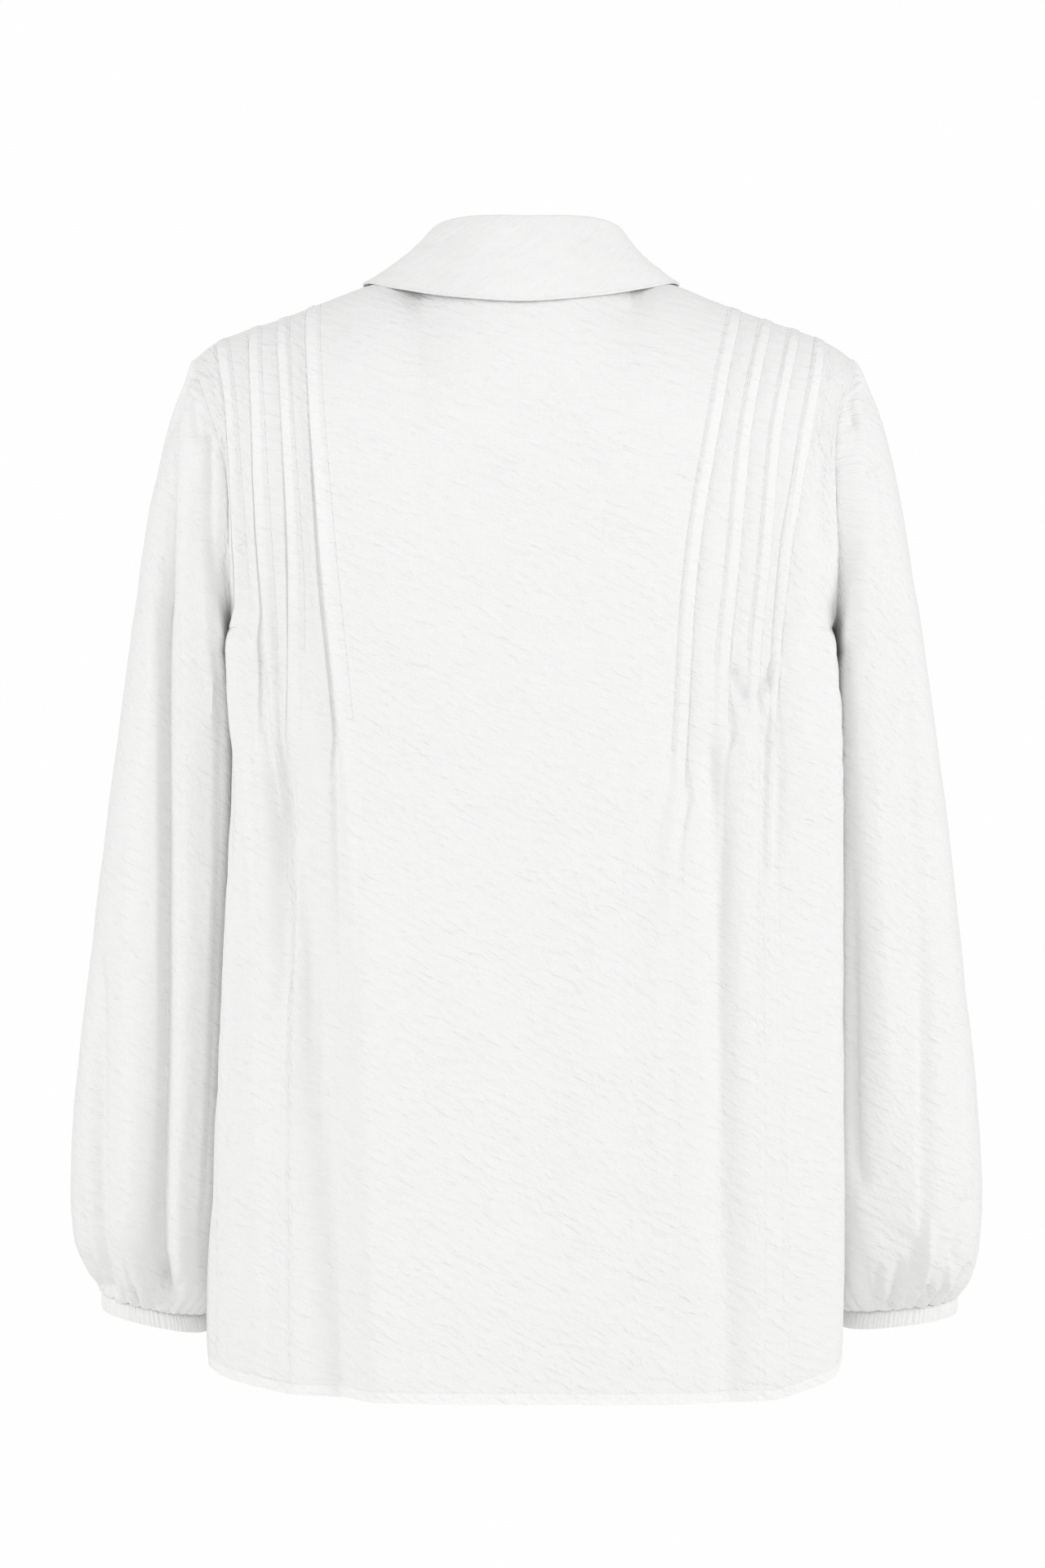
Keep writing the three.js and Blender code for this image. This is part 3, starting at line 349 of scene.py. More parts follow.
# A tuck in section, from its stitched side outwards: across from the free edge and raised, while it is
# stitched flat, where its edge gapes, and where it has opened into a soft fold.
TUCK_SECTION = table(
    "flat gaping open",
    ((-8.4, 0), (-9, 0.2), (-8.6, 0.2)),
    ((-7.5, 0.1), (-8.2, 0.5), (-7.6, 0.7)),
    ((-7, 0.55), (-7.3, 1), (-6.6, 1.3)),
    ((-6.4, 1.35), (-6.2, 1.6), (-5.5, 1.9)),
    ((-5.3, 1.75), (-4.9, 2.2), (-4.4, 2.4)),
    ((-3.6, 1.85), (-3.4, 2.8), (-3.3, 2.6)),
    ((-1.9, 1.85), (-1.9, 3.1), (-2.2, 2.6)),
    ((-0.7, 1.8), (-0.8, 3.2), (-1.2, 2.3)),
    ((-0.1, 1.55), (-0.1, 3), (-0.3, 1.7)),
    ((0.05, 1.2), (0.1, 2.6), (0.6, 0.9)),
    ((-0.15, 0.85), (-0.2, 2), (1.4, 0)),
    ((-1.2, 0.65), (-0.9, 1.4), (2.2, -0.9)),
    ((-3.6, 0.6), (-1.5, 0.7), (3, -1.6)),
    ((-6, 0.45), (-1.7, 0), (3.8, -2)),
    ((-6.5, 0.2), (-1.5, -0.5), (4.6, -2.1)),
    ((-6, 0), (-0.6, -0.9), (5.4, -1.9)),
    ((-3, -0.05), (0.8, -1), (6.2, -1.5)),
    ((-0.8, -0.05), (2.4, -0.9), (7, -1.1)),
    ((0.1, -0.05), (2.9, -0.3), (7.8, -0.7)),
    ((0.7, 0), (3.2, 0.5), (8.5, -0.4)),
    ((1.3, 0), (4.4, 0.6), (9.2, -0.2)),
    ((2.2, 0), (6.2, 0.2), (10, 0)),
)
UNDER_FLAP = 10  # the section's steps from here on lie under the flap
TUCK_DEEP = 7.0  # from a tuck's free edge to its stitching
FLAP_LAYERS = ((-8.4, -6.4, -0.5, 1.0), (0, 0.6, 1, 0))  # how doubled the flap looks, across from its edge


def creases(*rows):
    """Soft ridges (lift over 0) and troughs along lines of places (to the wearer's left, down), with their
    half widths on the centre side and the far side, the share of the length each end fades over, and how
    many times as wide they grow."""
    return table("lift wide fade line grow", *rows)


BACK_CREASES = creases(
    (-10, (7, 7.5), (0.15, 0),
     [(149, 290), (146, 330), (138, 387), (128, 485), (120, 584), (108, 730)], 2.4),
    (5, (15, 12), (0.3, 0.1), [(97, 330), (96, 500), (94, 720)]),
    (-3, (4, 4), (0.1, 0.5), [(149, 330), (148, 470)]),
    (3, (12, 9), (0.3, 0.1), [(166, 360), (160, 700)]),
    (1.4, (6, 6), (0.3, 0.3), [(128, 330), (138, 420), (150, 560)]),
    (-2, (5, 7), (0.3, 0.4), [(179, 300), (176, 430), (180, 560)]),
    (-10, (8, 7.5), (0.05, 0),
     [(-115, 290), (-117.5, 387), (-119.5, 485), (-121.5, 584), (-127, 730)], 2.2),
    (5, (15, 12), (0.3, 0.2), [(-99, 300), (-84, 460), (-90, 660)]),
    (-3.4, (5, 5), (0.15, 0.4), [(-146, 275), (-146, 400)]),
    (3, (13, 12), (0.3, 0.1), [(-152, 390), (-156, 700)]),
    (-3.6, (2.5, 3), (0.1, 0.2), [(-122, 246), (-130, 262), (-137, 270)]),
    (-3.6, (3, 2.5), (0.1, 0.2), [(-150, 244), (-142, 262), (-137, 270)]),
    (3.6, (5, 4), (0.2, 0.4), [(-136, 262), (-131, 300), (-128, 340)]),
    (1.8, (9, 2), (0.2, 0.4), [(-169, 130), (-170, 175), (-166, 260)]),
    (1.6, (3, 3), (0.2, 0.2), [(-179, 98), (-185, 104), (-187, 118)]),
    (-2.6, (2, 5), (0.1, 0.4), [(-180, 112), (-179, 150), (-186, 196)]),
    (-1.6, (6, 6), (0.3, 0.4), [(-180, 200), (-181, 330)]),
    (-1.4, (2, 4), (0.2, 0.3), [(198, 47), (199, 68)]),
    (-2.5, (42, 42), (0.3, 0.3), [(0, 280), (6, 640)]),
    (1.6, (22, 22), (0.3, 0.2), [(-48, 420), (-40, 700)]),
    (-1.8, (18, 18), (0.3, 0.2), [(44, 470), (50, 700)]),
    (-1, (14, 14), (0.3, 0.3), [(72, 250), (40, 330)]),
    (-0.7, (10, 10), (0.3, 0.3), [(-84, 420), (-30, 470)]),
)


def crease_lift(rows, x, down):
    """How far the creases raise or sink the cloth at each place."""
    total = np.zeros(np.broadcast(x, down).shape)
    x, down = np.broadcast_to(x, total.shape), np.broadcast_to(down, total.shape)
    for crease in rows:
        knots = np.array(crease["line"], float)
        steps = np.linspace(0, len(knots) - 1, 8 * len(knots))
        path = np.stack([curve(enumerate(knots[:, axis]))(steps) for axis in (0, 1)], -1)
        heading = np.gradient(path, axis=0)
        heading /= np.linalg.norm(heading, axis=1, keepdims=True)
        reach = 3.2 * max(crease["wide"]) * crease.get("grow", 1)
        low, high = path.min(0) - reach, path.max(0) + reach
        near = (x > low[0]) & (x < high[0]) & (down > low[1]) & (down < high[1])
        offset = np.stack([x[near], down[near]], -1)[:, None] - path
        nearest = np.argmin((offset**2).sum(-1), 1)
        offset = offset[np.arange(nearest.size), nearest]
        ahead = (offset * heading[nearest]).sum(-1)
        away = offset[:, 0] * heading[nearest, 1] - offset[:, 1] * heading[nearest, 0]
        length = np.linalg.norm(np.diff(path, axis=0), axis=1).sum()
        along = nearest / (len(path) - 1) + ahead / length
        outer = away * np.sign(knots[:, 0].mean() + 1e-6) > 0
        wide = np.where(outer, crease["wide"][1], crease["wide"][0])
        wide = wide * mix(1, crease.get("grow", 1), np.clip(along, 0, 1))
        fade_in, fade_out = (max(share, 0.01) for share in crease["fade"])
        ends = smooth(along, -0.02, fade_in) * (1 - smooth(along, 1 - fade_out, 1.02))
        total[near] += crease["lift"] * ends * np.exp(-np.abs(away / wide) ** 1.8)
    return total


def rumple(u, v, size, seed):
    """Smooth uneven rise and fall between -1 and 1, about size apart."""
    gx, gy = np.floor(u / size), np.floor(v / size)
    fx, fy = u / size - gx, v / size - gy
    fx, fy = fx**3 * (fx * (6 * fx - 15) + 10), fy**3 * (fy * (6 * fy - 15) + 10)

    def knot(i, j):
        mark = np.sin(i * 127.1 + j * 311.7 + seed * 74.7) * 43758.5453
        return 2 * (mark - np.floor(mark)) - 1

    upper = mix(knot(gx, gy), knot(gx + 1, gy), fx)
    lower = mix(knot(gx, gy + 1), knot(gx + 1, gy + 1), fx)
    return mix(upper, lower, fy)


def loose_lift(x, down, seed):
    """The small unevenness of washed cloth: long shallow waves and shorter slanting ones."""
    slant_u, slant_v = x * 0.9 + down * 0.42, down * 0.9 - x * 0.42
    waves = 0.9 * rumple(x / 0.8, down / 2.4, 60, seed) + 0.45 * rumple(slant_u / 1.6, slant_v, 24, seed + 1)
    return waves + 0.22 * rumple(slant_u / 2.2, slant_v, 10, seed + 2)


def line_out(side, line):
    """A line's distance from the centre against down, from its place on the shoulder seam."""
    return curve([(float(ridge_down(side * line["top"])), line["top"]), *line["line"]])


def neck_line(side):
    """The first plain line outside the collar, down from the neck point."""
    out = line_out(side, NECK_LINE)
    return {"top": NECK_LINE["top"], "place": lambda down: (out(down), 0 * down)}


def tuck_columns(tuck, inner, outer):
    """The lines that make one tuck: each gives its distance from the centre and its rise, against down."""
    middle = line_out(tuck["side"], tuck)
    flat, wide_gape, opened = (np.array([step[key] for step in TUCK_SECTION]) for key in TUCK_SECTION[0])
    gaping = mix(flat, wide_gape, tuck["gape"])

    def column(i):
        def place(down):
            gape = mix(tuck["gape_top"], 1, smooth(down, tuck["gape_from"], tuck["gape_down"]))[..., None]
            release = smooth(down, tuck["stitched"], tuck["flat_down"])[..., None]
            fade = 1 - smooth(down, tuck["flat_down"], tuck["fade_down"])
            section = mix(mix(flat[i], gaping[i], gape), opened[i], release)
            room = middle(down) - inner(down) if opened[i][0] < 0 else outer(down) - middle(down)
            fit = np.clip(room / FOLD_ROOM, 0.08, 1)
            return middle(down) + section[..., 0] * fit, section[..., 1] * fade * fit**0.7

        return place

    return [column(i) for i in range(len(TUCK_SECTION))]


def between(first, second, count):
    """Lines spread evenly between two others, without them."""
    def column(share):
        return lambda down: tuple(mix(a, b, share) for a, b in zip(first(down), second(down)))

    return [column((i + 1) / (count + 1)) for i in range(count)]


def panel_lines(side, yoke_count, gap_count=2):
    """One side's lines outwards from the neck point: top distance, place against down, stitch distance."""
    lines = [neck_line(side)]
    flat_across = [step["flat"][0] for step in TUCK_SECTION]
    tucks = [tuck for tuck in TUCKS if tuck["side"] == side]
    outs = [line_out(side, line) for line in (NECK_LINE, *tucks)] + [lambda down: armhole_out[side](down) + 6]
    for i, tuck in enumerate(tucks):
        columns = tuck_columns(tuck, outs[i], outs[i + 2])
        last = lines[-1]
        first_top = tuck["top"] + flat_across[0]
        count = yoke_count if i == 0 else gap_count
        for k, place in enumerate(between(last["place"], columns[0], count)):
            lines.append({"top": mix(last["top"], first_top, (k + 1) / (count + 1)), "place": place})
        for k, (across, place) in enumerate(zip(flat_across, columns)):
            doubled = np.interp(across, *FLAP_LAYERS) if k < UNDER_FLAP else 0.0
            lines.append({"top": tuck["top"] + across, "place": place, "stitch": across + TUCK_DEEP,
                          "layers": doubled, "stitched_to": tuck["stitched"]})
    return lines


HEM_ROWS = (14, 11.5, 9.5, 8, 7, 6.2, 5.2, 3.5, 1.8, 0.6, 0)  # the last rows' heights above the edge
LOW_LEVEL = np.array([600.0])  # a column's angle here places its end on the hem
EDGE_ROWS = (150, 206)  # between these places on the seam the rows crowd towards the seam as well
LOOSE = {"calm": 0.35, "calms": (196, 168)}  # the looseness left beside the side seams
PANEL_SEAM = {"frees": (-8, 30), "sink": 0.5, "wide": 1.4}


def row_downs(face, side, top, angle, edge_share, upper_rows, lower_rows):
    """The heights of a column's rows, from its seam over the underarm to the hem."""
    start = top_down(face, side * top)
    t = np.linspace(0, 1, upper_rows + 1)
    spread = mix(1 - np.cos(np.pi * t / 2), (1 - np.cos(np.pi * t)) / 2, edge_share)
    out = side * np.sin(np.radians(min(abs(angle), 90))) ** (2 / ROUNDNESS) * side_half_width[side](HEM_LEVEL)
    front_rise = mix(FRONT_RISE, hem_rise(side * HEM_OUT), (out / HEM_OUT) ** 4)
    hem = BACK_HEM - (hem_rise(out) if face is BACK else front_rise)
    near_hem = hem - np.array(HEM_ROWS)
    run = np.linspace(UNDERARM, near_hem[0], lower_rows + 1)[1:]
    return np.concatenate([mix(start, UNDERARM, spread), run, near_hem[1:]])


def panel_side(face, side, lines, counts, crease_rows, seed, lap=None, lapped=0.0):
    """Half a panel as columns of points outwards from the centre, with what the cloth needs along them."""
    neck_out = line_out(side, NECK_LINE)
    columns = [{"top": out, "flat": out} for out in np.linspace(-lapped, lapped, 11)[:-1]] if lapped else []
    for share in np.linspace(0, 1, counts["neck"] + 1)[:-1]:
        turn = mix(math.asin(lapped / NECK["half_width"]), math.pi / 2, share)
        columns.append({"top": NECK["half_width"] * math.sin(turn), "neck": share})
    columns += lines
    last = lines[-1]
    tip = SHOULDER_LINES[side][-1][0]
    for share in np.linspace(0, 1, counts["side"] + 1)[1:]:
        columns.append({"top": mix(last["top"], tip, share), "beyond": share})
    upper, lower = counts["upper"], counts["lower"]
    t = np.concatenate([np.linspace(0, 1, upper + 1), np.ones(lower + len(HEM_ROWS) - 1)])
    grid = {"point": [], "stitch": [], "layers": [], "hem": [], "down": []}
    for column in columns:
        def place_at(down, column=column):
            if "flat" in column:
                return angle_at(face, side, column["flat"] + 0 * down, down), 0 * down
            shift = np.maximum(1 - t * 1.8, 0) if down.size > 1 else 0.0
            if "neck" in column:
                evenly = mix(lapped, neck_out(down), column["neck"])
                along_neck = neck_out(down) * column["top"] / NECK["half_width"]
                return angle_at(face, side, mix(evenly, along_neck, shift), down), 0 * down
            if "beyond" in column:
                x, lift = last["place"](down)
                angle = mix(angle_at(face, side, x, down), edge_angle(face, side, down), column["beyond"])
                on_seam = angle_at(face, side, column["top"], down[0])
                return angle + (on_seam - angle[0]) * shift, lift * (1 - column["beyond"])
            x, lift = column["place"](down)
            return angle_at(face, side, x, down), lift

        low_angle = 90.0 if column.get("beyond") == 1 else float(place_at(LOW_LEVEL)[0][0])
        edge_share = float(smooth(column["top"], *EDGE_ROWS))
        down = row_downs(face, side, column["top"], low_angle, edge_share, upper, lower)
        angle, lift = place_at(down)
        point = body_point(face, side, angle, down)
        normal = body_normal(face, side, angle, down)
        if column["top"] >= NECK["half_width"]:
            normal[0] *= (1, 0, 1)
        elif face is FRONT:
            normal[0] *= (1, 1, 0)
        normal[0] /= np.linalg.norm(normal[0])
        x = point[:, 0]
        loose = mix(LOOSE["calm"], 1, smooth(np.abs(x), *LOOSE["calms"]))
        rise = lift + crease_lift(crease_rows, x, down) + loose_lift(x, down, seed) * loose
        from_top = down - down[0]
        sunk = PANEL_SEAM["sink"] * np.exp(-((from_top / PANEL_SEAM["wide"]) ** 2))
        rise = rise * smooth(from_top, *PANEL_SEAM["frees"]) - sunk
        if lap:
            rise = rise + lap(side * x)
        grid["point"].append(point + normal * rise[:, None])
        stitched_to = column.get("stitched_to", 200)
        grid["stitch"].append(np.where(down < stitched_to, column.get("stitch", FAR), FAR))
        single = smooth(down, 0.3 * stitched_to, stitched_to + 50)
        grid["layers"].append(column.get("layers", 0.0) * (1 - single))
        grid["hem"].append(down[-1] - down)
        grid["down"].append(down)
    return {key: np.stack(value, 1) for key, value in grid.items()}


def join_sides(left, right):
    """One grid from two that share their first column."""
    return {key: np.concatenate([right[key][:, :0:-1], left[key]], 1) for key in left}


def select_only(*objects):
    """Selects objects; the last one is the active one."""
    bpy.ops.object.select_all(action="DESELECT")
    for one in objects:
        one.select_set(True)
    bpy.context.view_layer.objects.active = objects[-1]


def cloth_mesh(name, material, points, seam_away, seam_run=None, closed=False, thickness=CLOTH, doubled=None,
               down=None, layers=0.0):
    """A thin shell from a grid of points in millimetres, outer side out, with the weave's own UV map and
    a second one that holds the distance from the nearest stitching and the place along it."""
    rows, columns = points.shape[:2]
    across = np.linalg.norm(np.diff(points, axis=1), axis=-1).mean(0)
    u = np.concatenate([[0.0], np.cumsum(across)])[None]
    v = -points[..., 2] if down is None else down
    if seam_run is None:
        seam_run = v
    number = np.arange(rows * columns).reshape(rows, columns)
    a, b = number[:-1, :-1], number[:-1, 1:]
    c, d = number[1:, 1:], number[1:, :-1]
    faces = np.stack([a, b, c, d], -1).reshape(-1, 4)
    mesh = bpy.data.meshes.new(name)
    mesh.from_pydata((points.reshape(-1, 3) * MM).tolist(), [], faces.tolist())
    corners = np.empty(len(mesh.loops), int)
    mesh.loops.foreach_get("vertex_index", corners)
    for layer, pair in (("weave", (u, -v)), ("seams", (seam_run, seam_away))):
        flat = np.stack([np.broadcast_to(part, (rows, columns)).reshape(-1) for part in pair], -1) * MM
        mesh.uv_layers.new(name=layer).data.foreach_set("uv", flat[corners].reshape(-1))
    doubling = np.ascontiguousarray(np.broadcast_to(layers, (rows, columns)).reshape(-1))
    mesh.attributes.new("layers", "FLOAT", "POINT").data.foreach_set("value", doubling)
    piece = bpy.data.objects.new(name, mesh)
    bpy.context.scene.collection.objects.link(piece)
    select_only(piece)
    if closed:
        weld = piece.modifiers.new("weld", "WELD")
        weld.merge_threshold = 0.02 * MM
        bpy.ops.object.modifier_apply(modifier="weld")
    shell = piece.modifiers.new("thickness", "SOLIDIFY")
    shell.offset = -1
    shell.thickness = thickness * MM
    if doubled is not None:
        group = piece.vertex_groups.new(name="doubled")
        weights = doubled.reshape(-1)
        for level in np.unique(weights):
            group.add(np.nonzero(weights == level)[0].tolist(), float(level), "REPLACE")
        shell.vertex_group = "doubled"
        shell.thickness_vertex_group = 0.0
    bpy.ops.object.modifier_apply(modifier="thickness")
    bpy.ops.object.shade_smooth_by_angle(angle=math.radians(SHARP_OVER))
    piece.data.materials.append(material)
    return piece


class Value:
    """A shader socket that can be used in sums."""

    def __init__(self, tree, socket):
        self.tree, self.socket = tree, socket

    def math(self, operation, *others):
        node = self.tree.nodes.new("ShaderNodeMath")
        node.operation = operation
        for i, part in enumerate((self, *others)):
            if isinstance(part, Value):
                self.tree.links.new(part.socket, node.inputs[i])
            else:
                node.inputs[i].default_value = part
        return Value(self.tree, node.outputs[0])

    def __add__(self, other):
        return self.math("ADD", other)

    __radd__ = __add__

    def __mul__(self, other):
        return self.math("MULTIPLY", other)

    __rmul__ = __mul__

    def __sub__(self, other):
        return self.math("SUBTRACT", other)

    def __truediv__(self, other):
        return self.math("DIVIDE", other)

    def near(self, middle, width):
        """1 where the value is at middle, down to about a third at a width away."""
        away = (self - middle) / width
        return (away * away * -1).math("EXPONENT")


class Finish:
    """One procedural material: its node tree, its shader and a short way to add nodes."""

    def __init__(self, name):
        self.material = bpy.data.materials.new(name)
        self.material.use_nodes = True
        self.tree = self.material.node_tree
        self.shader = self.tree.nodes["Principled BSDF"]

    def feed(self, node, inputs):
        """Links or sets a node's inputs."""
        for key, value in inputs.items():
            if isinstance(value, Value):
                self.tree.links.new(value.socket, node.inputs[key])
            elif isinstance(value, bpy.types.NodeSocket):
                self.tree.links.new(value, node.inputs[key])
            else:
                node.inputs[key].default_value = value

    def node(self, kind, settings=None, inputs=None):
        node = self.tree.nodes.new(kind)
        for key, value in (settings or {}).items():
            setattr(node, key, value)
        self.feed(node, inputs or {})
        return node

    def value(self, node, output=0):
        return Value(self.tree, node.outputs[output])

    def uv(self, name):
        return self.node("ShaderNodeUVMap", {"uv_map": name}).outputs[0]

    def noise(self, vector, scale, turn=0.0, **inputs):
        """Noise whose size is given in metres each way, turned on the cloth."""
        place = self.node(
            "ShaderNodeMapping",
            {"vector_type": "TEXTURE"},
            {"Vector": vector, "Rotation": (0, 0, math.radians(turn)), "Scale": (scale[0], scale[1], 1)},
        )
        inputs = {"Vector": place.outputs[0], "Scale": 1.0, **inputs}
        return self.value(self.node("ShaderNodeTexNoise", None, inputs))


WHITE = (0.862, 0.862, 0.858)
STITCH_LONG = 0.0022
DOUBLED = 0.045  # how much whiter the thin cloth looks where it lies double


def cloth_finish(name, crinkle=1.0, turn=25.0):
    """White washed plain weave: slanting crinkles, thicker and thinner threads, stitching and its puckers;
    painted shade darkens the crinkles' hollows and the stitching grooves.
    """
    finish = Finish(name)
    weave = finish.uv("weave")
    crinkles = finish.noise(weave, (0.0125, 0.004), turn, Detail=2.5, Roughness=0.5, Distortion=0.3)
    cross = finish.noise(weave, (0.0065, 0.0026), turn + 38, Detail=2.0, Roughness=0.5)
    blotches = finish.noise(weave, (0.045, 0.022), turn, Detail=1.0)
    slubs_along = finish.noise(weave, (0.0007, 0.02), 0, Detail=1.0)
    slubs_across = finish.noise(weave, (0.024, 0.0006), 0, Detail=1.0)
    grain = finish.noise(weave, (0.0009, 0.0009), 0, Detail=2.0)
    seams = finish.node("ShaderNodeSeparateXYZ", None, {"Vector": finish.uv("seams")})
    run, away = finish.value(seams, 0), finish.value(seams, 1)
    groove = away.near(0, 0.0007)
    beside = away.near(0, 0.0032)
    stitches = (run * (2 * math.pi / STITCH_LONG)).math("SINE") * 0.5 + 0.5
    by_seam = finish.node("ShaderNodeCombineXYZ", None, {"X": run, "Y": away}).outputs[0]
    puckers = finish.noise(by_seam, (0.0032, 0.006), 30, Detail=1.0)
    height = crinkles * (blotches + 0.4) * (1.15 * crinkle) + cross * (0.25 * crinkle)
    height = height + (slubs_along + slubs_across) * 0.05 + grain * 0.06
    height = height + beside * (puckers - 0.5) * 0.4 - groove * (0.06 + 0.08 * stitches)
    bump = finish.node("ShaderNodeBump", None, {"Height": height, "Distance": 0.0014, "Strength": 1.0})
    layers = finish.value(finish.node("ShaderNodeAttribute", {"attribute_name": "layers"}), 2)
    # Colour: painted shade, lighter on the crinkles' crests, darker in their hollows and 1 % darker in the
    # stitching grooves; the slubs are the threads' own tone.
    tone_and_painted_shade = (crinkles - 0.5) * 0.04 + (slubs_along + slubs_across - 1) * 0.03 + 1.0 - groove * 0.01
    tone_and_painted_shade = tone_and_painted_shade * (layers * DOUBLED + 1.0)
    colour = finish.node("ShaderNodeVectorMath", {"operation": "SCALE"}, {0: WHITE, "Scale": tone_and_painted_shade})
    finish.feed(finish.shader, {"Base Color": colour.outputs[0], "Normal": bump.outputs[0], "Roughness": 0.92,
                                "Specular IOR Level": 0.15, "Sheen Weight": 0.12})
    return finish.material


body_cloth = cloth_finish("crinkled_cloth")

UPPER_ROWS = 56
LOWER_ROWS = 96
BACK_COUNTS = {"neck": 20, "side": 6, "upper": UPPER_ROWS, "lower": LOWER_ROWS}
BACK_SEED = 11
back_grid = join_sides(
    panel_side(BACK, 1, panel_lines(1, 14), BACK_COUNTS, BACK_CREASES, BACK_SEED),
    panel_side(BACK, -1, panel_lines(-1, 11), {**BACK_COUNTS, "side": 14}, BACK_CREASES, BACK_SEED),
)


def nearest_stitch(grid):
    hem_away = grid["hem"] - HEM_DEEP
    closer = np.abs(grid["stitch"]) < np.abs(hem_away)
    return np.where(closer, grid["stitch"], hem_away)


def hem_layers(grid):
    """Share of full thickness: the turned hem is three layers thick."""
    return np.round(mix(1.0, 0.4, smooth(grid["hem"], HEM_DEEP - 0.6, HEM_DEEP + 0.2)), 2)


def cloth_layers(grid):
    """How doubled the cloth looks: 1 on the tucks' flaps and on the turned hem."""
    return np.maximum(grid["layers"], 1 - smooth(grid["hem"], HEM_DEEP - 0.6, HEM_DEEP + 0.4))


back = cloth_mesh("back_panel", body_cloth, back_grid["point"], nearest_stitch(back_grid),
                  thickness=HEM_THICK, doubled=hem_layers(back_grid), layers=cloth_layers(back_grid))
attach(back, "root")
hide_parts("back")

# ---------------------------------------------------------------------------------------------------
# Fronts: two plain pieces of the same cloth, joined to the back along shoulders and sides. The right
# one laps over the left at the centre; both hang in a few soft folds from the bust.

LAP = {"half_width": 13.0, "lift": 2.1}
FRONT_CREASES = creases(
    (-6.5, (13, 11), (0.3, 0), [(114, 236), (104, 420), (97, 560), (92, 740)]),
    (4.5, (15, 13), (0.4, 0.1), [(72, 300), (66, 500), (66, 740)]),
    (4, (14, 12), (0.3, 0.1), [(148, 300), (146, 470), (150, 740)]),
    (-1.8, (5, 5), (0.1, 0.5), [(168, 226), (158, 250), (152, 300)]),
    (-2, (9, 9), (0.4, 0.1), [(44, 420), (40, 700)]),
    (-1.4, (8, 8), (0.3, 0.3), [(150, 140), (128, 190), (112, 262)]),
    (-6.5, (12, 12), (0.3, 0), [(-108, 246), (-120, 430), (-118, 560), (-126, 740)]),
    (4.5, (16, 14), (0.3, 0.1), [(-78, 320), (-64, 520), (-60, 740)]),
    (3.6, (14, 12), (0.3, 0.1), [(-150, 320), (-156, 480), (-152, 740)]),
    (-2, (5, 6), (0.1, 0.5), [(-170, 228), (-156, 262), (-150, 320)]),
    (-1.8, (10, 10), (0.4, 0.1), [(-46, 460), (-38, 720)]),
    (-1.3, (8, 8), (0.3, 0.3), [(-146, 150), (-122, 214), (-104, 268)]),
)
FRONT_COUNTS = {"neck": 22, "side": 64, "upper": UPPER_ROWS, "lower": LOWER_ROWS}
FRONT_SEED = 23


def right_lap(out):
    return LAP["lift"] * (1 - smooth(out, LAP["half_width"] + 2, 34))


fronts = {}
for name, side in (("left", 1), ("right", -1)):
    lap = right_lap if name == "right" else None
    grid = panel_side(FRONT, side, [neck_line(side)], FRONT_COUNTS, FRONT_CREASES, FRONT_SEED + side, lap,
                      LAP["half_width"])
    fronts[name] = grid
    turned = {key: value[:, ::-side] for key, value in grid.items()}
    front = cloth_mesh(f"front_{name}_panel", body_cloth, turned["point"], nearest_stitch(turned),
                       thickness=HEM_THICK, doubled=hem_layers(turned), layers=cloth_layers(turned))
    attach(front, "root")
    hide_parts(f"front_{name}")

# ---------------------------------------------------------------------------------------------------
# Placket: a straight band of the same cloth, folded under at both edges and stitched on over the right
# front's edge, 2.5 mm in from each side.

PLACKET = {"thick": 1.1, "above": 0.15, "stitch_in": 2.5}
strip = fronts["right"]
strip_x = strip["point"][0, :, 0]
strip_points = strip["point"][:, np.abs(strip_x) <= LAP["half_width"] + 0.01]
raised = np.cross(np.gradient(strip_points, axis=1), np.gradient(strip_points, axis=0))
raised /= np.linalg.norm(raised, axis=-1, keepdims=True)
raised *= np.where(raised[..., 1:2] > 0, -1, 1)
strip_out = np.abs(strip_points[..., 0])
strip_points = strip_points + raised * (PLACKET["thick"] + PLACKET["above"])
stitch_away = LAP["half_width"] - PLACKET["stitch_in"] - strip_out
placket = cloth_mesh("placket_band", body_cloth, strip_points, stitch_away, thickness=PLACKET["thick"])
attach(placket, "root")
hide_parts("placket")

# ---------------------------------------------------------------------------------------------------
# Sleeves: wide one-piece sleeves of the same cloth, gathered into the armhole over the shoulder and
# again into the cuff. They hang full, in deep soft folds that differ from left to right.

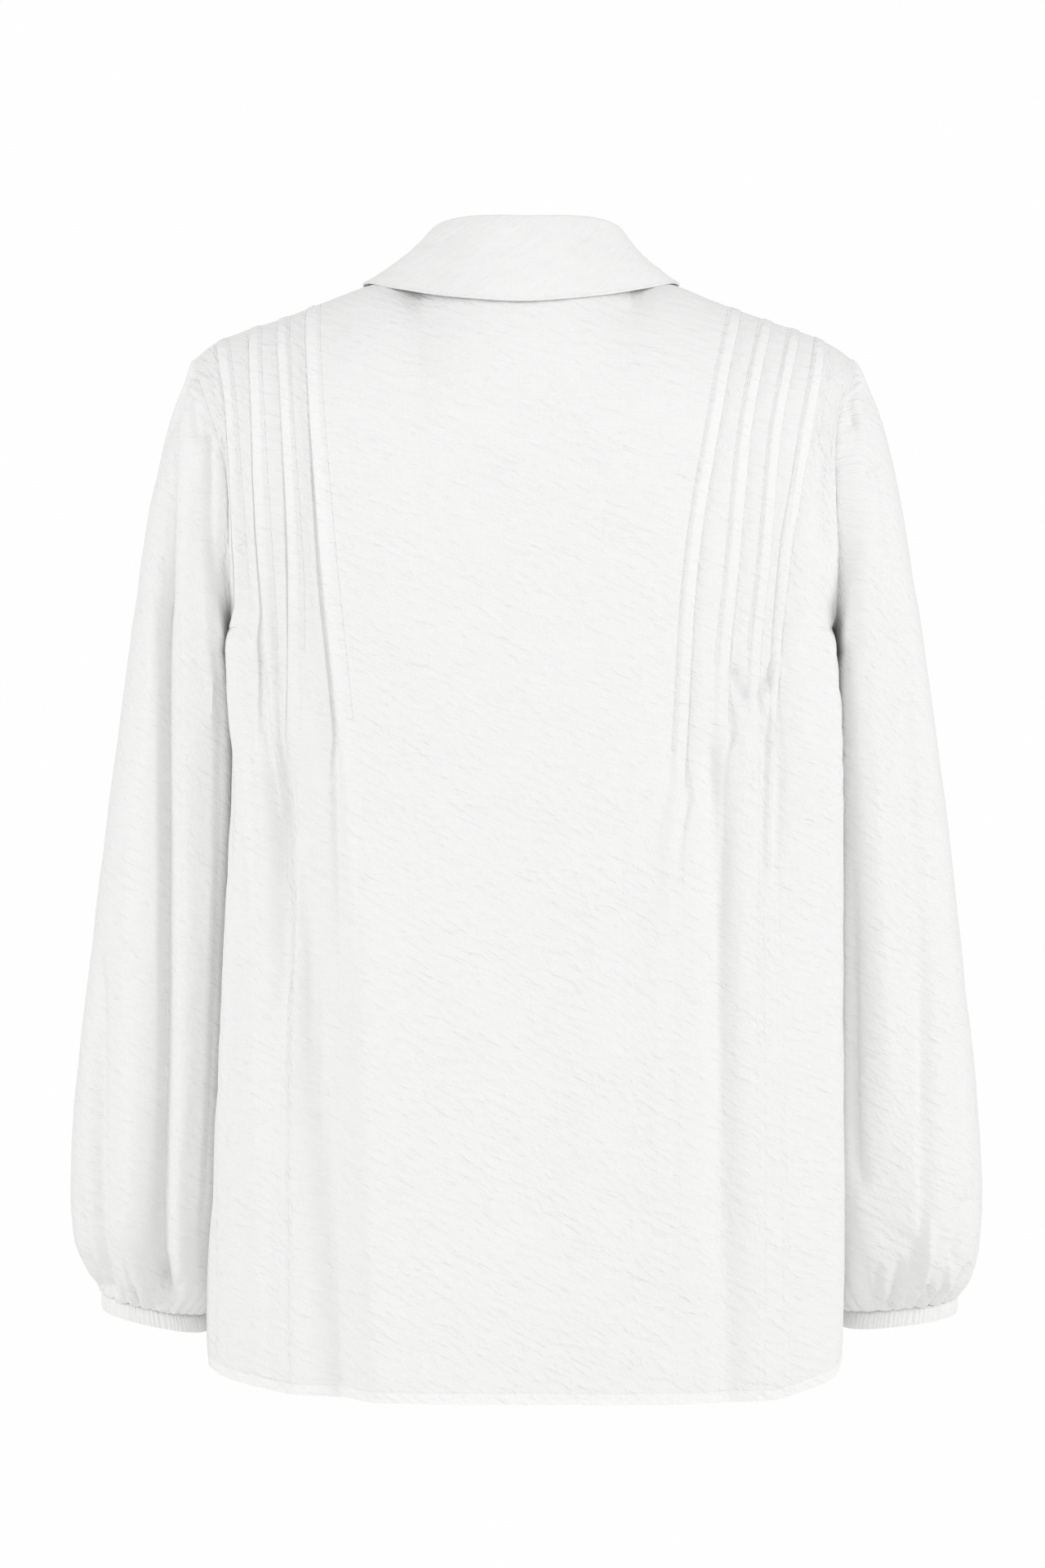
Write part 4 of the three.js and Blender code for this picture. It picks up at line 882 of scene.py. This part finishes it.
# A ring hangs between its inner end, nearest to the body, and its outer end, which is higher by the
# drop; it is a rounded shape of some power, and squarer, by the corner's power, beside the body's back.
RING_COLUMNS = "down left_in left_out left_drop right_in right_out right_drop depth middle power corner"
SLEEVE_RINGS = table(
    RING_COLUMNS,
    (141, 185, 214, 165.4, 193.7, 210.5, 165.4, 61, 2, 2, 3.4),
    (157.1, 185.2, 225.5, 137.8, 193.9, 224, 137.8, 62, 1, 2, 5),
    (177.5, 185.4, 234.5, 103, 194.1, 232.8, 103, 63, 0, 2.1, 7),
    (198.2, 185.6, 240.3, 69.6, 194.3, 239.3, 69.6, 63, -1, 2.3, 8),
    (217.5, 185.7, 244.9, 41, 194.5, 244.3, 41, 62, -2, 2.5, 8),
    (234.8, 184, 248.6, 18.5, 193.2, 248.7, 18.5, 62, -3, 2.7, 8),
    (254, 182.3, 252.3, 0, 192.8, 252.7, 0, 62, -4, 2.9, 8),
    (302, 181.8, 258.8, 0, 192.2, 259.5, 0, 64, -8, 3, 8),
    (370, 183.2, 268.2, 0, 192.3, 268.4, 0, 67, -13, 3, 8),
    (440, 185.7, 277.2, 1.6, 192.3, 277.2, 1, 70, -18, 3, 8),
    (510, 188.8, 285.4, 3.4, 192.3, 285.4, 2, 73, -23, 3, 8),
    (570, 191.7, 289.3, 6.2, 192.6, 289.3, 4, 74, -27, 3, 8),
    (610, 194.2, 287.8, 9.4, 194.6, 288, 6, 68, -29, 2.8, 4.6),
    (634, 197.5, 281.5, 13, 198.6, 284, 8, 54, -30, 2.5, 3.6),
    (645, 203.5, 276.5, 15, 202, 280, 9, 40, -30, 2.3, 3),
    (650.6, 206, 273.5, 14.4, 203.5, 277.5, 9, 32, -30, 2.2, 2.4),
)
# Beside the body's back a sleeve has a sunk ledge, a share of its depth, that the body's edge lies over.
SLEEVE_LEDGE = {"left": {"over": (8.5, 10.5), "sunk": 0.06}, "right": {"over": (4, 14), "sunk": 0.05}}
ROWS_BETWEEN_RINGS = [10, 9, 9, 8, 7, 6, 5, 9, 12, 12, 12, 12, 10, 9, 7, 4]
SLEEVE_COLUMNS = 240
GATHERS = {"folds": 25, "lift": 3.2, "above": 612, "deep": 34}
PUCKERS = {"count": 34, "lift": 2.3, "fade": 13}
SEAM_SWELL = 0.9  # of the sleeve's head just outside the armhole seam
SLEEVE_CREASES = {
    "left": creases(
        (-13, (4.5, 7), (0.02, 0),
         [(213, 58), (219, 93), (221, 150), (222, 290), (223, 465), (227, 590), (226, 640)]),
        (4, (9, 5), (0.05, 0.1), [(205, 66), (211, 100), (212, 290), (212, 480), (216, 590), (214, 640)]),
        (-2.2, (2, 3), (0.1, 0.5), [(205, 82), (204, 92), (202, 104), (199, 114)]),
        (-3, (2.5, 3), (0.1, 0.5), [(195, 98), (194, 116), (194, 150), (192, 260)]),
        (-1.8, (1.6, 2.2), (0.1, 0.4), [(211, 62), (206, 76), (204, 84)]),
        (4, (12, 10), (0.4, 0.1), [(242, 230), (246, 400), (247, 620)]),
        (-7, (5, 7), (0.3, 0), [(266, 400), (265, 480), (264, 590), (262, 640)]),
        (-3, (3, 3), (0.4, 0), [(259, 600), (255, 622), (251, 642)]),
        (-2.4, (1.6, 2), (0.3, 0), [(247, 632), (246, 646)]),
        (-2.6, (2, 2.2), (0.3, 0), [(222, 608), (225, 630), (229, 646)]),
        (-2.2, (1.8, 2), (0.3, 0), [(214, 622), (219, 640), (222, 648)]),
        (-3.5, (3, 4), (0.4, 0), [(281, 560), (276, 610), (271, 640)]),
    ),
    "right": creases(
        (-3.2, (2.4, 3), (0.05, 0.5), [(197, 78), (200, 88), (202, 99), (205, 110)]),
        (-1.8, (1.8, 2), (0.1, 0.5), [(200, 71), (203, 80)]),
        (-2.4, (1.8, 2.4), (0.05, 0.5), [(193, 85), (196, 91), (197, 98), (196, 104)]),
        (-2.2, (3, 3), (0.1, 0.6), [(211, 70), (212, 90), (215, 130), (222, 220)]),
        (4, (11, 10), (0.3, 0.3), [(205, 110), (214, 260), (222, 440), (226, 560)]),
        (-3.5, (9, 9), (0.3, 0.2), [(228, 180), (238, 320), (246, 540)]),
        (-5, (6, 6), (0.4, 0.15), [(200, 300), (200, 440), (202, 530), (208, 574)]),
        (-2.5, (2.5, 7), (0.4, 0.1), [(244, 400), (244, 530), (245, 606)]),
        (3.2, (3, 3), (0.4, 0), [(250, 580), (250, 632)]),
        (-3.2, (2, 3), (0.3, 0), [(218, 616), (219, 632), (222, 648)]),
        (-2.4, (4, 4), (0.3, 0.1), [(210, 596), (240, 604), (232, 640)]),
        (-4, (3, 3), (0.3, 0), [(232, 610), (231, 634), (229, 648)]),
        (-2.4, (1.5, 2), (0.3, 0), [(252, 616), (251, 630), (254, 640)]),
        (2.4, (2, 2), (0.4, 0), [(263, 606), (264, 636)]),
        (-3.2, (4, 5), (0.3, 0.1), [(279, 566), (268, 592), (263, 620)]),
        (-2.4, (2, 2), (0.3, 0), [(277, 618), (270, 634)]),
    ),
}
HIDDEN_SLEEVE_CREASES = creases(
    (-6.5, (6, 7), (0.05, 0), [(216, 70), (224, 150), (228, 300), (232, 480), (230, 640)]),
    (3.5, (9, 6), (0.2, 0.1), [(206, 90), (212, 180), (214, 420), (216, 620)]),
    (-2.2, (2, 3), (0.1, 0.5), [(200, 84), (203, 118)]),
    (3.5, (10, 9), (0.4, 0.1), [(236, 260), (252, 440), (256, 640)]),
    (-5.5, (6, 7), (0.3, 0), [(262, 360), (270, 500), (264, 640)]),
    (-3, (2.4, 3), (0.4, 0), [(246, 600), (249, 646)]),
    (-3, (2.2, 2.6), (0.4, 0), [(222, 612), (219, 646)]),
)


def sleeve_rings(side, theta, behind, before):
    """The sleeve's rings from the armhole to the cuff; theta runs from under the arm over the back. The
    first ring follows the panels' edges, behind and before."""
    level = mix(SHOULDER_TIP, UNDERARM, (1 + np.cos(theta)) / 2)
    edges = []
    for grid, edge in (behind, before):
        downs, line = grid["down"][: UPPER_ROWS + 1, edge], grid["point"][: UPPER_ROWS + 1, edge]
        edges.append(np.stack([np.interp(level, downs, line[:, axis]) for axis in range(3)], -1))
    share = smooth(np.sin(theta), 0.04, -0.04)[:, None]
    rings = [mix(edges[0], edges[1], share)]
    rings += [ring_point(side, ring, theta) for ring in SLEEVE_RINGS]
    return np.stack(rings)


def quarter(half, depth, power, share):
    """A quarter of a rounded ring, evenly spaced along it: power 2 is elliptical, more is squarer."""
    turn = np.linspace(0, math.pi / 2, 600)
    across = half * np.cos(turn) ** (2 / power)
    deep = depth * np.sin(turn) ** (2 / power)
    length = np.concatenate([[0.0], np.cumsum(np.hypot(np.diff(across), np.diff(deep)))])
    along = share * length[-1]
    return np.interp(along, length, across), np.interp(along, length, deep)


def ring_point(side, ring, theta):
    """A ring's points, from the side nearest to the body over the back."""
    name = "left" if side == 1 else "right"
    half = (ring[name + "_out"] - ring[name + "_in"]) / 2
    ledge = SLEEVE_LEDGE[name]
    share = 1 - np.abs(np.mod(theta / (math.pi / 2), 2) - 1)
    plain, cornered = (quarter(half, ring["depth"], ring[power], share) for power in ("power", "corner"))
    sunk = ledge["sunk"] * (ring["corner"] - 2) / 6 * (1 - smooth(half - cornered[0], *ledge["over"]))
    beside_body = (np.cos(theta) > 0) & (np.sin(theta) > 0)
    across = np.where(beside_body, cornered[0], plain[0]) * np.where(np.cos(theta) > 0, -1, 1)
    deep = np.where(beside_body, cornered[1] * (1 - sunk), plain[1]) * np.where(np.sin(theta) < 0, -1, 1)
    x = side * (ring[name + "_in"] + half + across)
    z = -ring["down"] + ring[name + "_drop"] * across / half / 2
    return np.stack([x, ring["middle"] + deep, z], -1)


def through_rings(rings, rows_between):
    """Rows of points on smooth lines that pass through the rings."""
    step = np.linalg.norm(np.diff(rings, axis=0), axis=-1)
    at = np.concatenate([np.zeros((1, rings.shape[1])), np.cumsum(step, 0)], 0)
    before = np.maximum(np.arange(len(rings)) - 1, 0)
    after = np.minimum(np.arange(len(rings)) + 1, len(rings) - 1)
    slopes = (rings[after] - rings[before]) / (at[after] - at[before])[..., None]
    rows = []
    for i, count in enumerate(rows_between):
        span = step[i][:, None]
        last = i == len(rows_between) - 1
        for t in np.linspace(0, 1, count + 1)[: None if last else -1]:
            ease = t * t * (3 - 2 * t)
            bend = t * (1 - t) ** 2 * span * slopes[i] + t * t * (t - 1) * span * slopes[i + 1]
            rows.append(rings[i] + (rings[i + 1] - rings[i]) * ease + bend)
    return np.stack(rows)


def grid_normals(points, closed):
    """Normals of a grid whose rows run down and whose columns run round, a closed one meeting itself."""
    along = np.gradient(points, axis=0)
    if closed:
        wrapped = np.concatenate([points[:, -2:-1], points, points[:, 1:2]], 1)
        around = wrapped[:, 2:] - wrapped[:, :-2]
    else:
        around = np.gradient(points, axis=1)
    normal = np.cross(along, around)
    return normal / np.maximum(np.linalg.norm(normal, axis=-1, keepdims=True), 1e-9)


def raised_ring_grid(base, rise, side):
    """A closed grid moved outwards by rise, its columns ordered so that the cloth faces out."""
    points = base + grid_normals(base, True) * -side * rise[..., None]
    points[:, -1] = points[:, 0]
    return points[:, ::side]


def gathers(theta, down, seed):
    """Uneven little folds that the elastic draws the cloth into."""
    phase = GATHERS["folds"] * theta + 1.6 * np.sin(3 * theta + seed) + 0.9 * np.sin(7 * theta + 2.1 * seed)
    height = 0.75 + 0.45 * np.sin(5 * theta + 1.3 * seed) * np.sin(2 * theta + seed)
    fold = np.abs(np.sin(phase / 2)) ** 0.8 - 0.6
    start = GATHERS["above"] + 14 * np.sin(4 * theta + seed) + 8 * np.sin(9 * theta + 0.7 * seed)
    return GATHERS["lift"] * fold * height * smooth(down, start, start + GATHERS["deep"])


def sleeve_grid(name, side):
    theta = np.linspace(0, 2 * math.pi, SLEEVE_COLUMNS + 1)
    edge = -1 if side == 1 else 0
    rings = sleeve_rings(side, theta, (back_grid, edge), (fronts[name], -1))
    between = [max(count // (1), 2) for count in ROWS_BETWEEN_RINGS]
    base = through_rings(rings, between)
    out, down = np.abs(base[..., 0]), -base[..., 2]
    turn = np.broadcast_to(theta, out.shape)
    behind = smooth(np.sin(turn), 0.0, 0.3)
    before = smooth(-np.sin(turn), 0.0, 0.3)
    rise = behind * crease_lift(SLEEVE_CREASES[name], out, down)
    rise += before * crease_lift(HIDDEN_SLEEVE_CREASES, out, down)
    from_seam = np.cumsum(np.linalg.norm(np.diff(base, axis=0, prepend=base[:1]), axis=-1), 0)
    to_cuff = from_seam[-1] - from_seam
    rise += gathers(turn, down, 2 + side)
    head = smooth(np.cos(turn), 0.5, -0.6)
    puckers = np.sin(PUCKERS["count"] * turn + 2.2 * np.sin(5 * turn + side))
    puckers *= 0.6 + 0.4 * np.sin(11 * turn)
    rise += PUCKERS["lift"] * head * puckers * np.exp(-from_seam / PUCKERS["fade"]) * smooth(from_seam, 0, 2)
    rise += 0.8 * loose_lift(side * turn * 42, from_seam, 40 + side) * smooth(from_seam, 0, 60)
    body_half = side_half_width[side](down)
    rise *= mix(0.2, 1, smooth(out, body_half + 3, body_half + 9))
    rise *= smooth(from_seam, -1, 7) * smooth(to_cuff, -2.5, 2.5)
    rise += SEAM_SWELL * head * smooth(from_seam, 0.5, 4) * (1 - smooth(from_seam, 8, 26))
    rise -= 0.5 * np.exp(-((from_seam / 1.2) ** 2)) + 0.7 * np.exp(-((to_cuff / 1.2) ** 2))
    return raised_ring_grid(base, rise, side), from_seam[:, ::side]


for name, side in (("left", 1), ("right", -1)):
    points, from_seam = sleeve_grid(name, side)
    sleeve = cloth_mesh(f"sleeve_{name}_cloth", body_cloth, points, from_seam, closed=True)
    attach(sleeve, "root")
    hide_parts(f"sleeve_{name}")

# ---------------------------------------------------------------------------------------------------
# Cuffs: the sleeve ends run in narrow channels over elastic, drawn up into fine close ribs.

CUFF = {"ribs": 74, "rib": 0.75, "thick": 1.6, "round": 0.9}
CUFF_RINGS = table(
    RING_COLUMNS,
    (650.2, 206.5, 273, 14.4, 204, 277, 9, 31.5, -30, 2.2, 2.2),
    (661, 203.5, 272.8, 14.4, 201.5, 276.5, 9, 32.5, -30, 2.2, 2.2),
)
cuff_cloth = cloth_finish("cuff_cloth", crinkle=0.35)
CUFF_COLUMNS = CUFF["ribs"] * 9
for name, side in (("left", 1), ("right", -1)):
    theta = np.linspace(0, 2 * math.pi, CUFF_COLUMNS + 1)
    first, last = (ring_point(side, ring, theta) for ring in CUFF_RINGS)
    share = (1 - np.cos(np.linspace(0, math.pi, 13)))[:, None, None] / 2
    base = mix(first, last, share)
    phase = CUFF["ribs"] * theta + 2.5 * np.sin(6 * theta + side) + 1.2 * np.sin(17 * theta)
    depth = 0.75 + 0.25 * np.sin(13 * theta + 2 * side)
    lean = 0.5 * np.sin(9 * theta + side) * (share[..., 0] - 0.5)
    rib = np.abs(np.sin((phase + lean) / 2)) ** 0.7 - 0.7
    swell = np.sin(math.pi * np.clip(share[..., 0], 0.02, 0.98)) ** 0.5
    rise = CUFF["rib"] * depth * rib * (0.55 + 0.45 * swell) + CUFF["round"] * (swell - 1)
    points = raised_ring_grid(base, rise, side)
    cuff = cloth_mesh(f"cuff_{name}_ribs", cuff_cloth, points, FAR, closed=True, thickness=CUFF["thick"])
    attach(cuff, "root")
    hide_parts(f"cuff_{name}")

# ---------------------------------------------------------------------------------------------------
# Collar stand: a stiffened band of doubled cloth on the neck seam, right end lapped over the left.

STAND = {"tilt": 0.2, "lap_turn": 11, "lap_lift": 2.2, "laps": (148, 166), "lift": 0.35, "thick": 1.3,
         "stitch_in": 1.6}
STAND_SHAPE = table(
    "turn lean height",
    (0, 3.5, 27),
    (50, 2, 28),
    (90, 8, 27),
    (180, 1, 24),
)
stand_lean, stand_height = (table_curve(STAND_SHAPE, value, "turn") for value in ("lean", "height"))


def neck_point(side, turn):
    """The neck seam, by turn from the centre back (0) to the centre front (180)."""
    sin, cos = np.sin(np.radians(turn)), np.cos(np.radians(turn))
    x = side * NECK["half_width"] * sin
    down = np.where(turn < 90, top_down(BACK, x), top_down(FRONT, x))
    y = np.where(turn < 90, BACK["neck"], FRONT["neck"]) * cos
    return np.stack([x, y, -down], -1)


def neck_away(side, turn):
    return np.stack([side * np.sin(np.radians(turn)), np.cos(np.radians(turn)), 0 * turn], -1)


def stand_point(side, turn, share, out=0.0):
    """A point of the stand: share runs up it from the neck seam, out away from it."""
    height = mix(STAND["lift"], stand_height(turn), share)
    lap = np.where(np.asarray(side) == -1, STAND["lap_lift"] * smooth(turn, *STAND["laps"]), 0)
    rise = np.stack([0 * height, -STAND["tilt"] * height, height], -1)
    away = out + lap - share * stand_lean(turn)
    return neck_point(side, turn) + rise + neck_away(side, turn) * away[..., None]


def round_neck(last_turn, count):
    """Sides and turns from the left end over the back to the right end."""
    turns = np.linspace(-last_turn, last_turn, 2 * count + 1)[::-1]
    return np.where(turns >= 0, 1.0, -1.0), np.abs(turns)


sides, turns = round_neck(180 + STAND["lap_turn"], 90)
shares = (1 - np.cos(np.linspace(0, math.pi, 17))) / 2
stand_grid = np.stack([stand_point(sides, turns, share) for share in shares[::-1]])
stand_edge = np.minimum(shares[::-1], 1 - shares[::-1])[:, None] * 26 - STAND["stitch_in"]
collar_cloth = cloth_finish("collar_cloth", crinkle=0.55, turn=-35)
stand = cloth_mesh("stand_band", collar_cloth, stand_grid[:, ::-1], stand_edge, thickness=STAND["thick"])
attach(stand, "root")
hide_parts("collar_stand")

# ---------------------------------------------------------------------------------------------------
# Collar: doubled cloth with a thin lining, turned down over the stand and topstitched 2 mm from its
# edge, so that the edge puckers a little. It stands just off the shoulders.

COLLAR_EDGE = table(
    "turn out back down bulge",
    (-25, -46, 68, 19, 2),
    (0, 0, 80.5, 24, 2),
    (25, 46, 68, 19, 2),
    (50, 81, 33, 8.5, 0),
    (75, 98, 9, 1.5, -3),
    (100, 100, -16, 4, -2),
    (130, 90, -42, 27, 2),
    (155, 73, -62, 52, 3),
    (180, 50, -78, 82, 3),
)
COLLAR_ROLL = [(-1.5, 0.4), (-1.1, 2.4), (1.1, 3.8), (3.5, 2.6)]  # over the stand's top: out and up
COLLAR = {"to_left": 3.5, "last_turn": 177, "thick": 1.3, "stitch_in": 2.0, "neck_radius": 72}
COLLAR_CREASES = creases(
    (0.5, (2, 3), (0.3, 0.3), [(-18, 3), (-6, 12), (0, 22)]),
    (0.45, (2.4, 2), (0.3, 0.3), [(30, 2), (22, 12), (10, 20)]),
    (-0.5, (2, 2.4), (0.3, 0.3), [(52, 6), (40, 16)]),
    (-0.4, (2.2, 2), (0.3, 0.3), [(-40, 8), (-30, 20)]),
    (0.4, (2.2, 3), (0.3, 0.3), [(-62, 4), (-50, 18)]),
    (-0.35, (2.6, 2), (0.3, 0.3), [(6, 2), (2, 14)]),
)
sides, turns = round_neck(COLLAR["last_turn"], 110)
knots = [stand_point(sides, turns, 1.0, out) + (0, 0, up) for out, up in COLLAR_ROLL]
keys = ("out", "back", "down", "bulge")
out, back_by, down, bulge = (table_curve(COLLAR_EDGE, key, "turn")(turns) for key in keys)
edge_line = np.stack([sides * out + COLLAR["to_left"], back_by, -down], -1)
for share in (0.25, 0.5, 0.75, 1.0):
    swell = neck_away(sides, turns) * bulge[:, None] * math.sin(math.pi * share)
    knots.append(mix(knots[3], edge_line, share) + swell)
collar_rows = through_rings(np.stack(knots), [3, 3, 3, 7, 7, 7, 12])
normal = grid_normals(collar_rows, False)
normal *= np.sign((normal * neck_away(sides, turns)).sum(-1).mean())
fall = np.cumsum(np.linalg.norm(np.diff(collar_rows, axis=0, prepend=collar_rows[:1]), axis=-1), 0)
to_edge = fall[-1] - fall
around = np.radians(turns) * sides * COLLAR["neck_radius"]
rise = crease_lift(COLLAR_CREASES, around, fall - 8)
rise += 0.35 * rumple(around + fall * 0.6, fall * 1.4, 11, 61) + 0.3 * rumple(around / 2, fall, 20, 62)
rise *= smooth(fall, 2, 14) * smooth(to_edge, -6, 10)
rise += 0.16 * np.sin(around * 1.5 + 2 * np.sin(around / 9)) * np.exp(-(((to_edge - 1.2) / 1.6) ** 2))
collar_grid = collar_rows + normal * rise[..., None]
collar = cloth_mesh("collar_leaf", collar_cloth, collar_grid[:, ::-1],
                    (to_edge - COLLAR["stitch_in"])[:, ::-1], around[::-1][None], thickness=COLLAR["thick"],
                    down=fall.mean(1, keepdims=True))
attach(collar, "root")
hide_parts("collar_fall")

# ---------------------------------------------------------------------------------------------------
# Buttons: white four-hole shirt buttons with a raised rim, sewn through with a cross of thread; seven
# on the placket and one on the collar stand.

BUTTON = {"radius": 5.5, "thick": 2.2, "dish": 0.6, "rim": 1.3, "slope": 0.5, "edge": 0.35,
          "sharp_over": 35, "hole": 0.8, "hole_out": 1.35, "thread": 0.3, "thread_deep": 0.9}


def turned_button(name):
    """A button that lies on the level plane at the origin, its face up."""
    bpy.ops.mesh.primitive_cylinder_add(vertices=64, radius=BUTTON["radius"] * MM, depth=BUTTON["thick"] * MM,
                                        location=(0, 0, BUTTON["thick"] / 2 * MM))
    button = bpy.context.object
    button.name = name
    bpy.ops.object.transform_apply(location=True)
    bpy.ops.object.mode_set(mode="EDIT")
    bpy.ops.mesh.select_mode(type="FACE")
    bpy.ops.mesh.select_all(action="DESELECT")
    bpy.ops.object.mode_set(mode="OBJECT")
    top = max(button.data.polygons, key=lambda face: face.center.z * (len(face.vertices) > 4))
    top.select = True
    bpy.ops.object.mode_set(mode="EDIT")
    bpy.ops.mesh.inset(thickness=BUTTON["rim"] * MM, depth=0)
    bpy.ops.mesh.inset(thickness=BUTTON["slope"] * MM, depth=-BUTTON["dish"] * MM)
    bpy.ops.mesh.select_all(action="DESELECT")
    bpy.ops.object.mode_set(mode="OBJECT")
    bevel = button.modifiers.new("edges", "BEVEL")
    bevel.width = BUTTON["edge"] * MM
    bevel.segments = 3
    bevel.limit_method = "ANGLE"
    bevel.angle_limit = math.radians(BUTTON["sharp_over"])
    bpy.ops.object.modifier_apply(modifier="edges")
    for i in range(4):
        turn = math.pi / 4 + i * math.pi / 2
        x, y = (BUTTON["hole_out"] * MM * part for part in (math.cos(turn), math.sin(turn)))
        bpy.ops.mesh.primitive_cylinder_add(vertices=20, radius=BUTTON["hole"] * MM, depth=6 * MM,
                                            location=(x, y, 0))
        drill = bpy.context.object
        select_only(button)
        hole = button.modifiers.new("hole", "BOOLEAN")
        hole.operation = "DIFFERENCE"
        hole.object = drill
        bpy.ops.object.modifier_apply(modifier="hole")
        bpy.data.objects.remove(drill)
    threads = []
    thread_up = BUTTON["thick"] - BUTTON["dish"] - BUTTON["thread_deep"]
    for turn in (math.pi / 4, -math.pi / 4):
        bpy.ops.mesh.primitive_torus_add(major_segments=28, major_radius=BUTTON["hole_out"] * MM,
                                         minor_segments=8, minor_radius=BUTTON["thread"] * MM,
                                         location=(0, 0, thread_up * MM),
                                         rotation=(math.pi / 2, 0, turn))
        threads.append(bpy.context.object)
    select_only(*threads, button)
    bpy.ops.object.join()
    bpy.ops.object.shade_smooth_by_angle(angle=math.radians(BUTTON["sharp_over"]))
    return button


button_finish = Finish("button_resin")
on_button = button_finish.node("ShaderNodeTexCoord").outputs["Object"]
cloud = button_finish.noise(on_button, (0.004, 0.004), 0, Detail=2.0)
button_finish.feed(button_finish.shader, {"Base Color": (0.84, 0.835, 0.82, 1),
                                          "Roughness": (cloud - 0.5) * 0.12 + 0.28})


def sew_on(name, node, lean):
    """Sets a button on the middle of its place in the frame, leaning as the cloth beneath it does."""
    low, high = np.array(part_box(node)[0]), np.array(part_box(node)[1])
    button = turned_button(name)
    button.rotation_euler = (math.pi / 2 + lean, 0, 0)
    facing = np.array((0, -math.cos(lean), -math.sin(lean)))
    button.location = (low + high) / 2 - facing * BUTTON["thick"] / 2 * MM
    select_only(button)
    bpy.ops.object.transform_apply(location=True, rotation=True)
    button.data.materials.clear()
    button.data.materials.append(button_finish.material)
    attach(button, "root")
    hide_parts(node)


for i in range(7):
    low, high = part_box(f"button_{i + 1}")
    down = -(low[2] + high[2]) / 2 / MM
    normal = body_normal(FRONT, -1, np.array([0.01]), np.array([down]))[0]
    sew_on(f"placket_button_{i + 1}", f"button_{i + 1}", math.atan2(-normal[2], -normal[1]))
stand_foot, stand_head = (stand_point(-1.0, np.array([180.0]), share)[0] for share in (0.2, 0.8))
sew_on("stand_button", "button_collar", math.atan2(*(stand_head - stand_foot)[1:]))
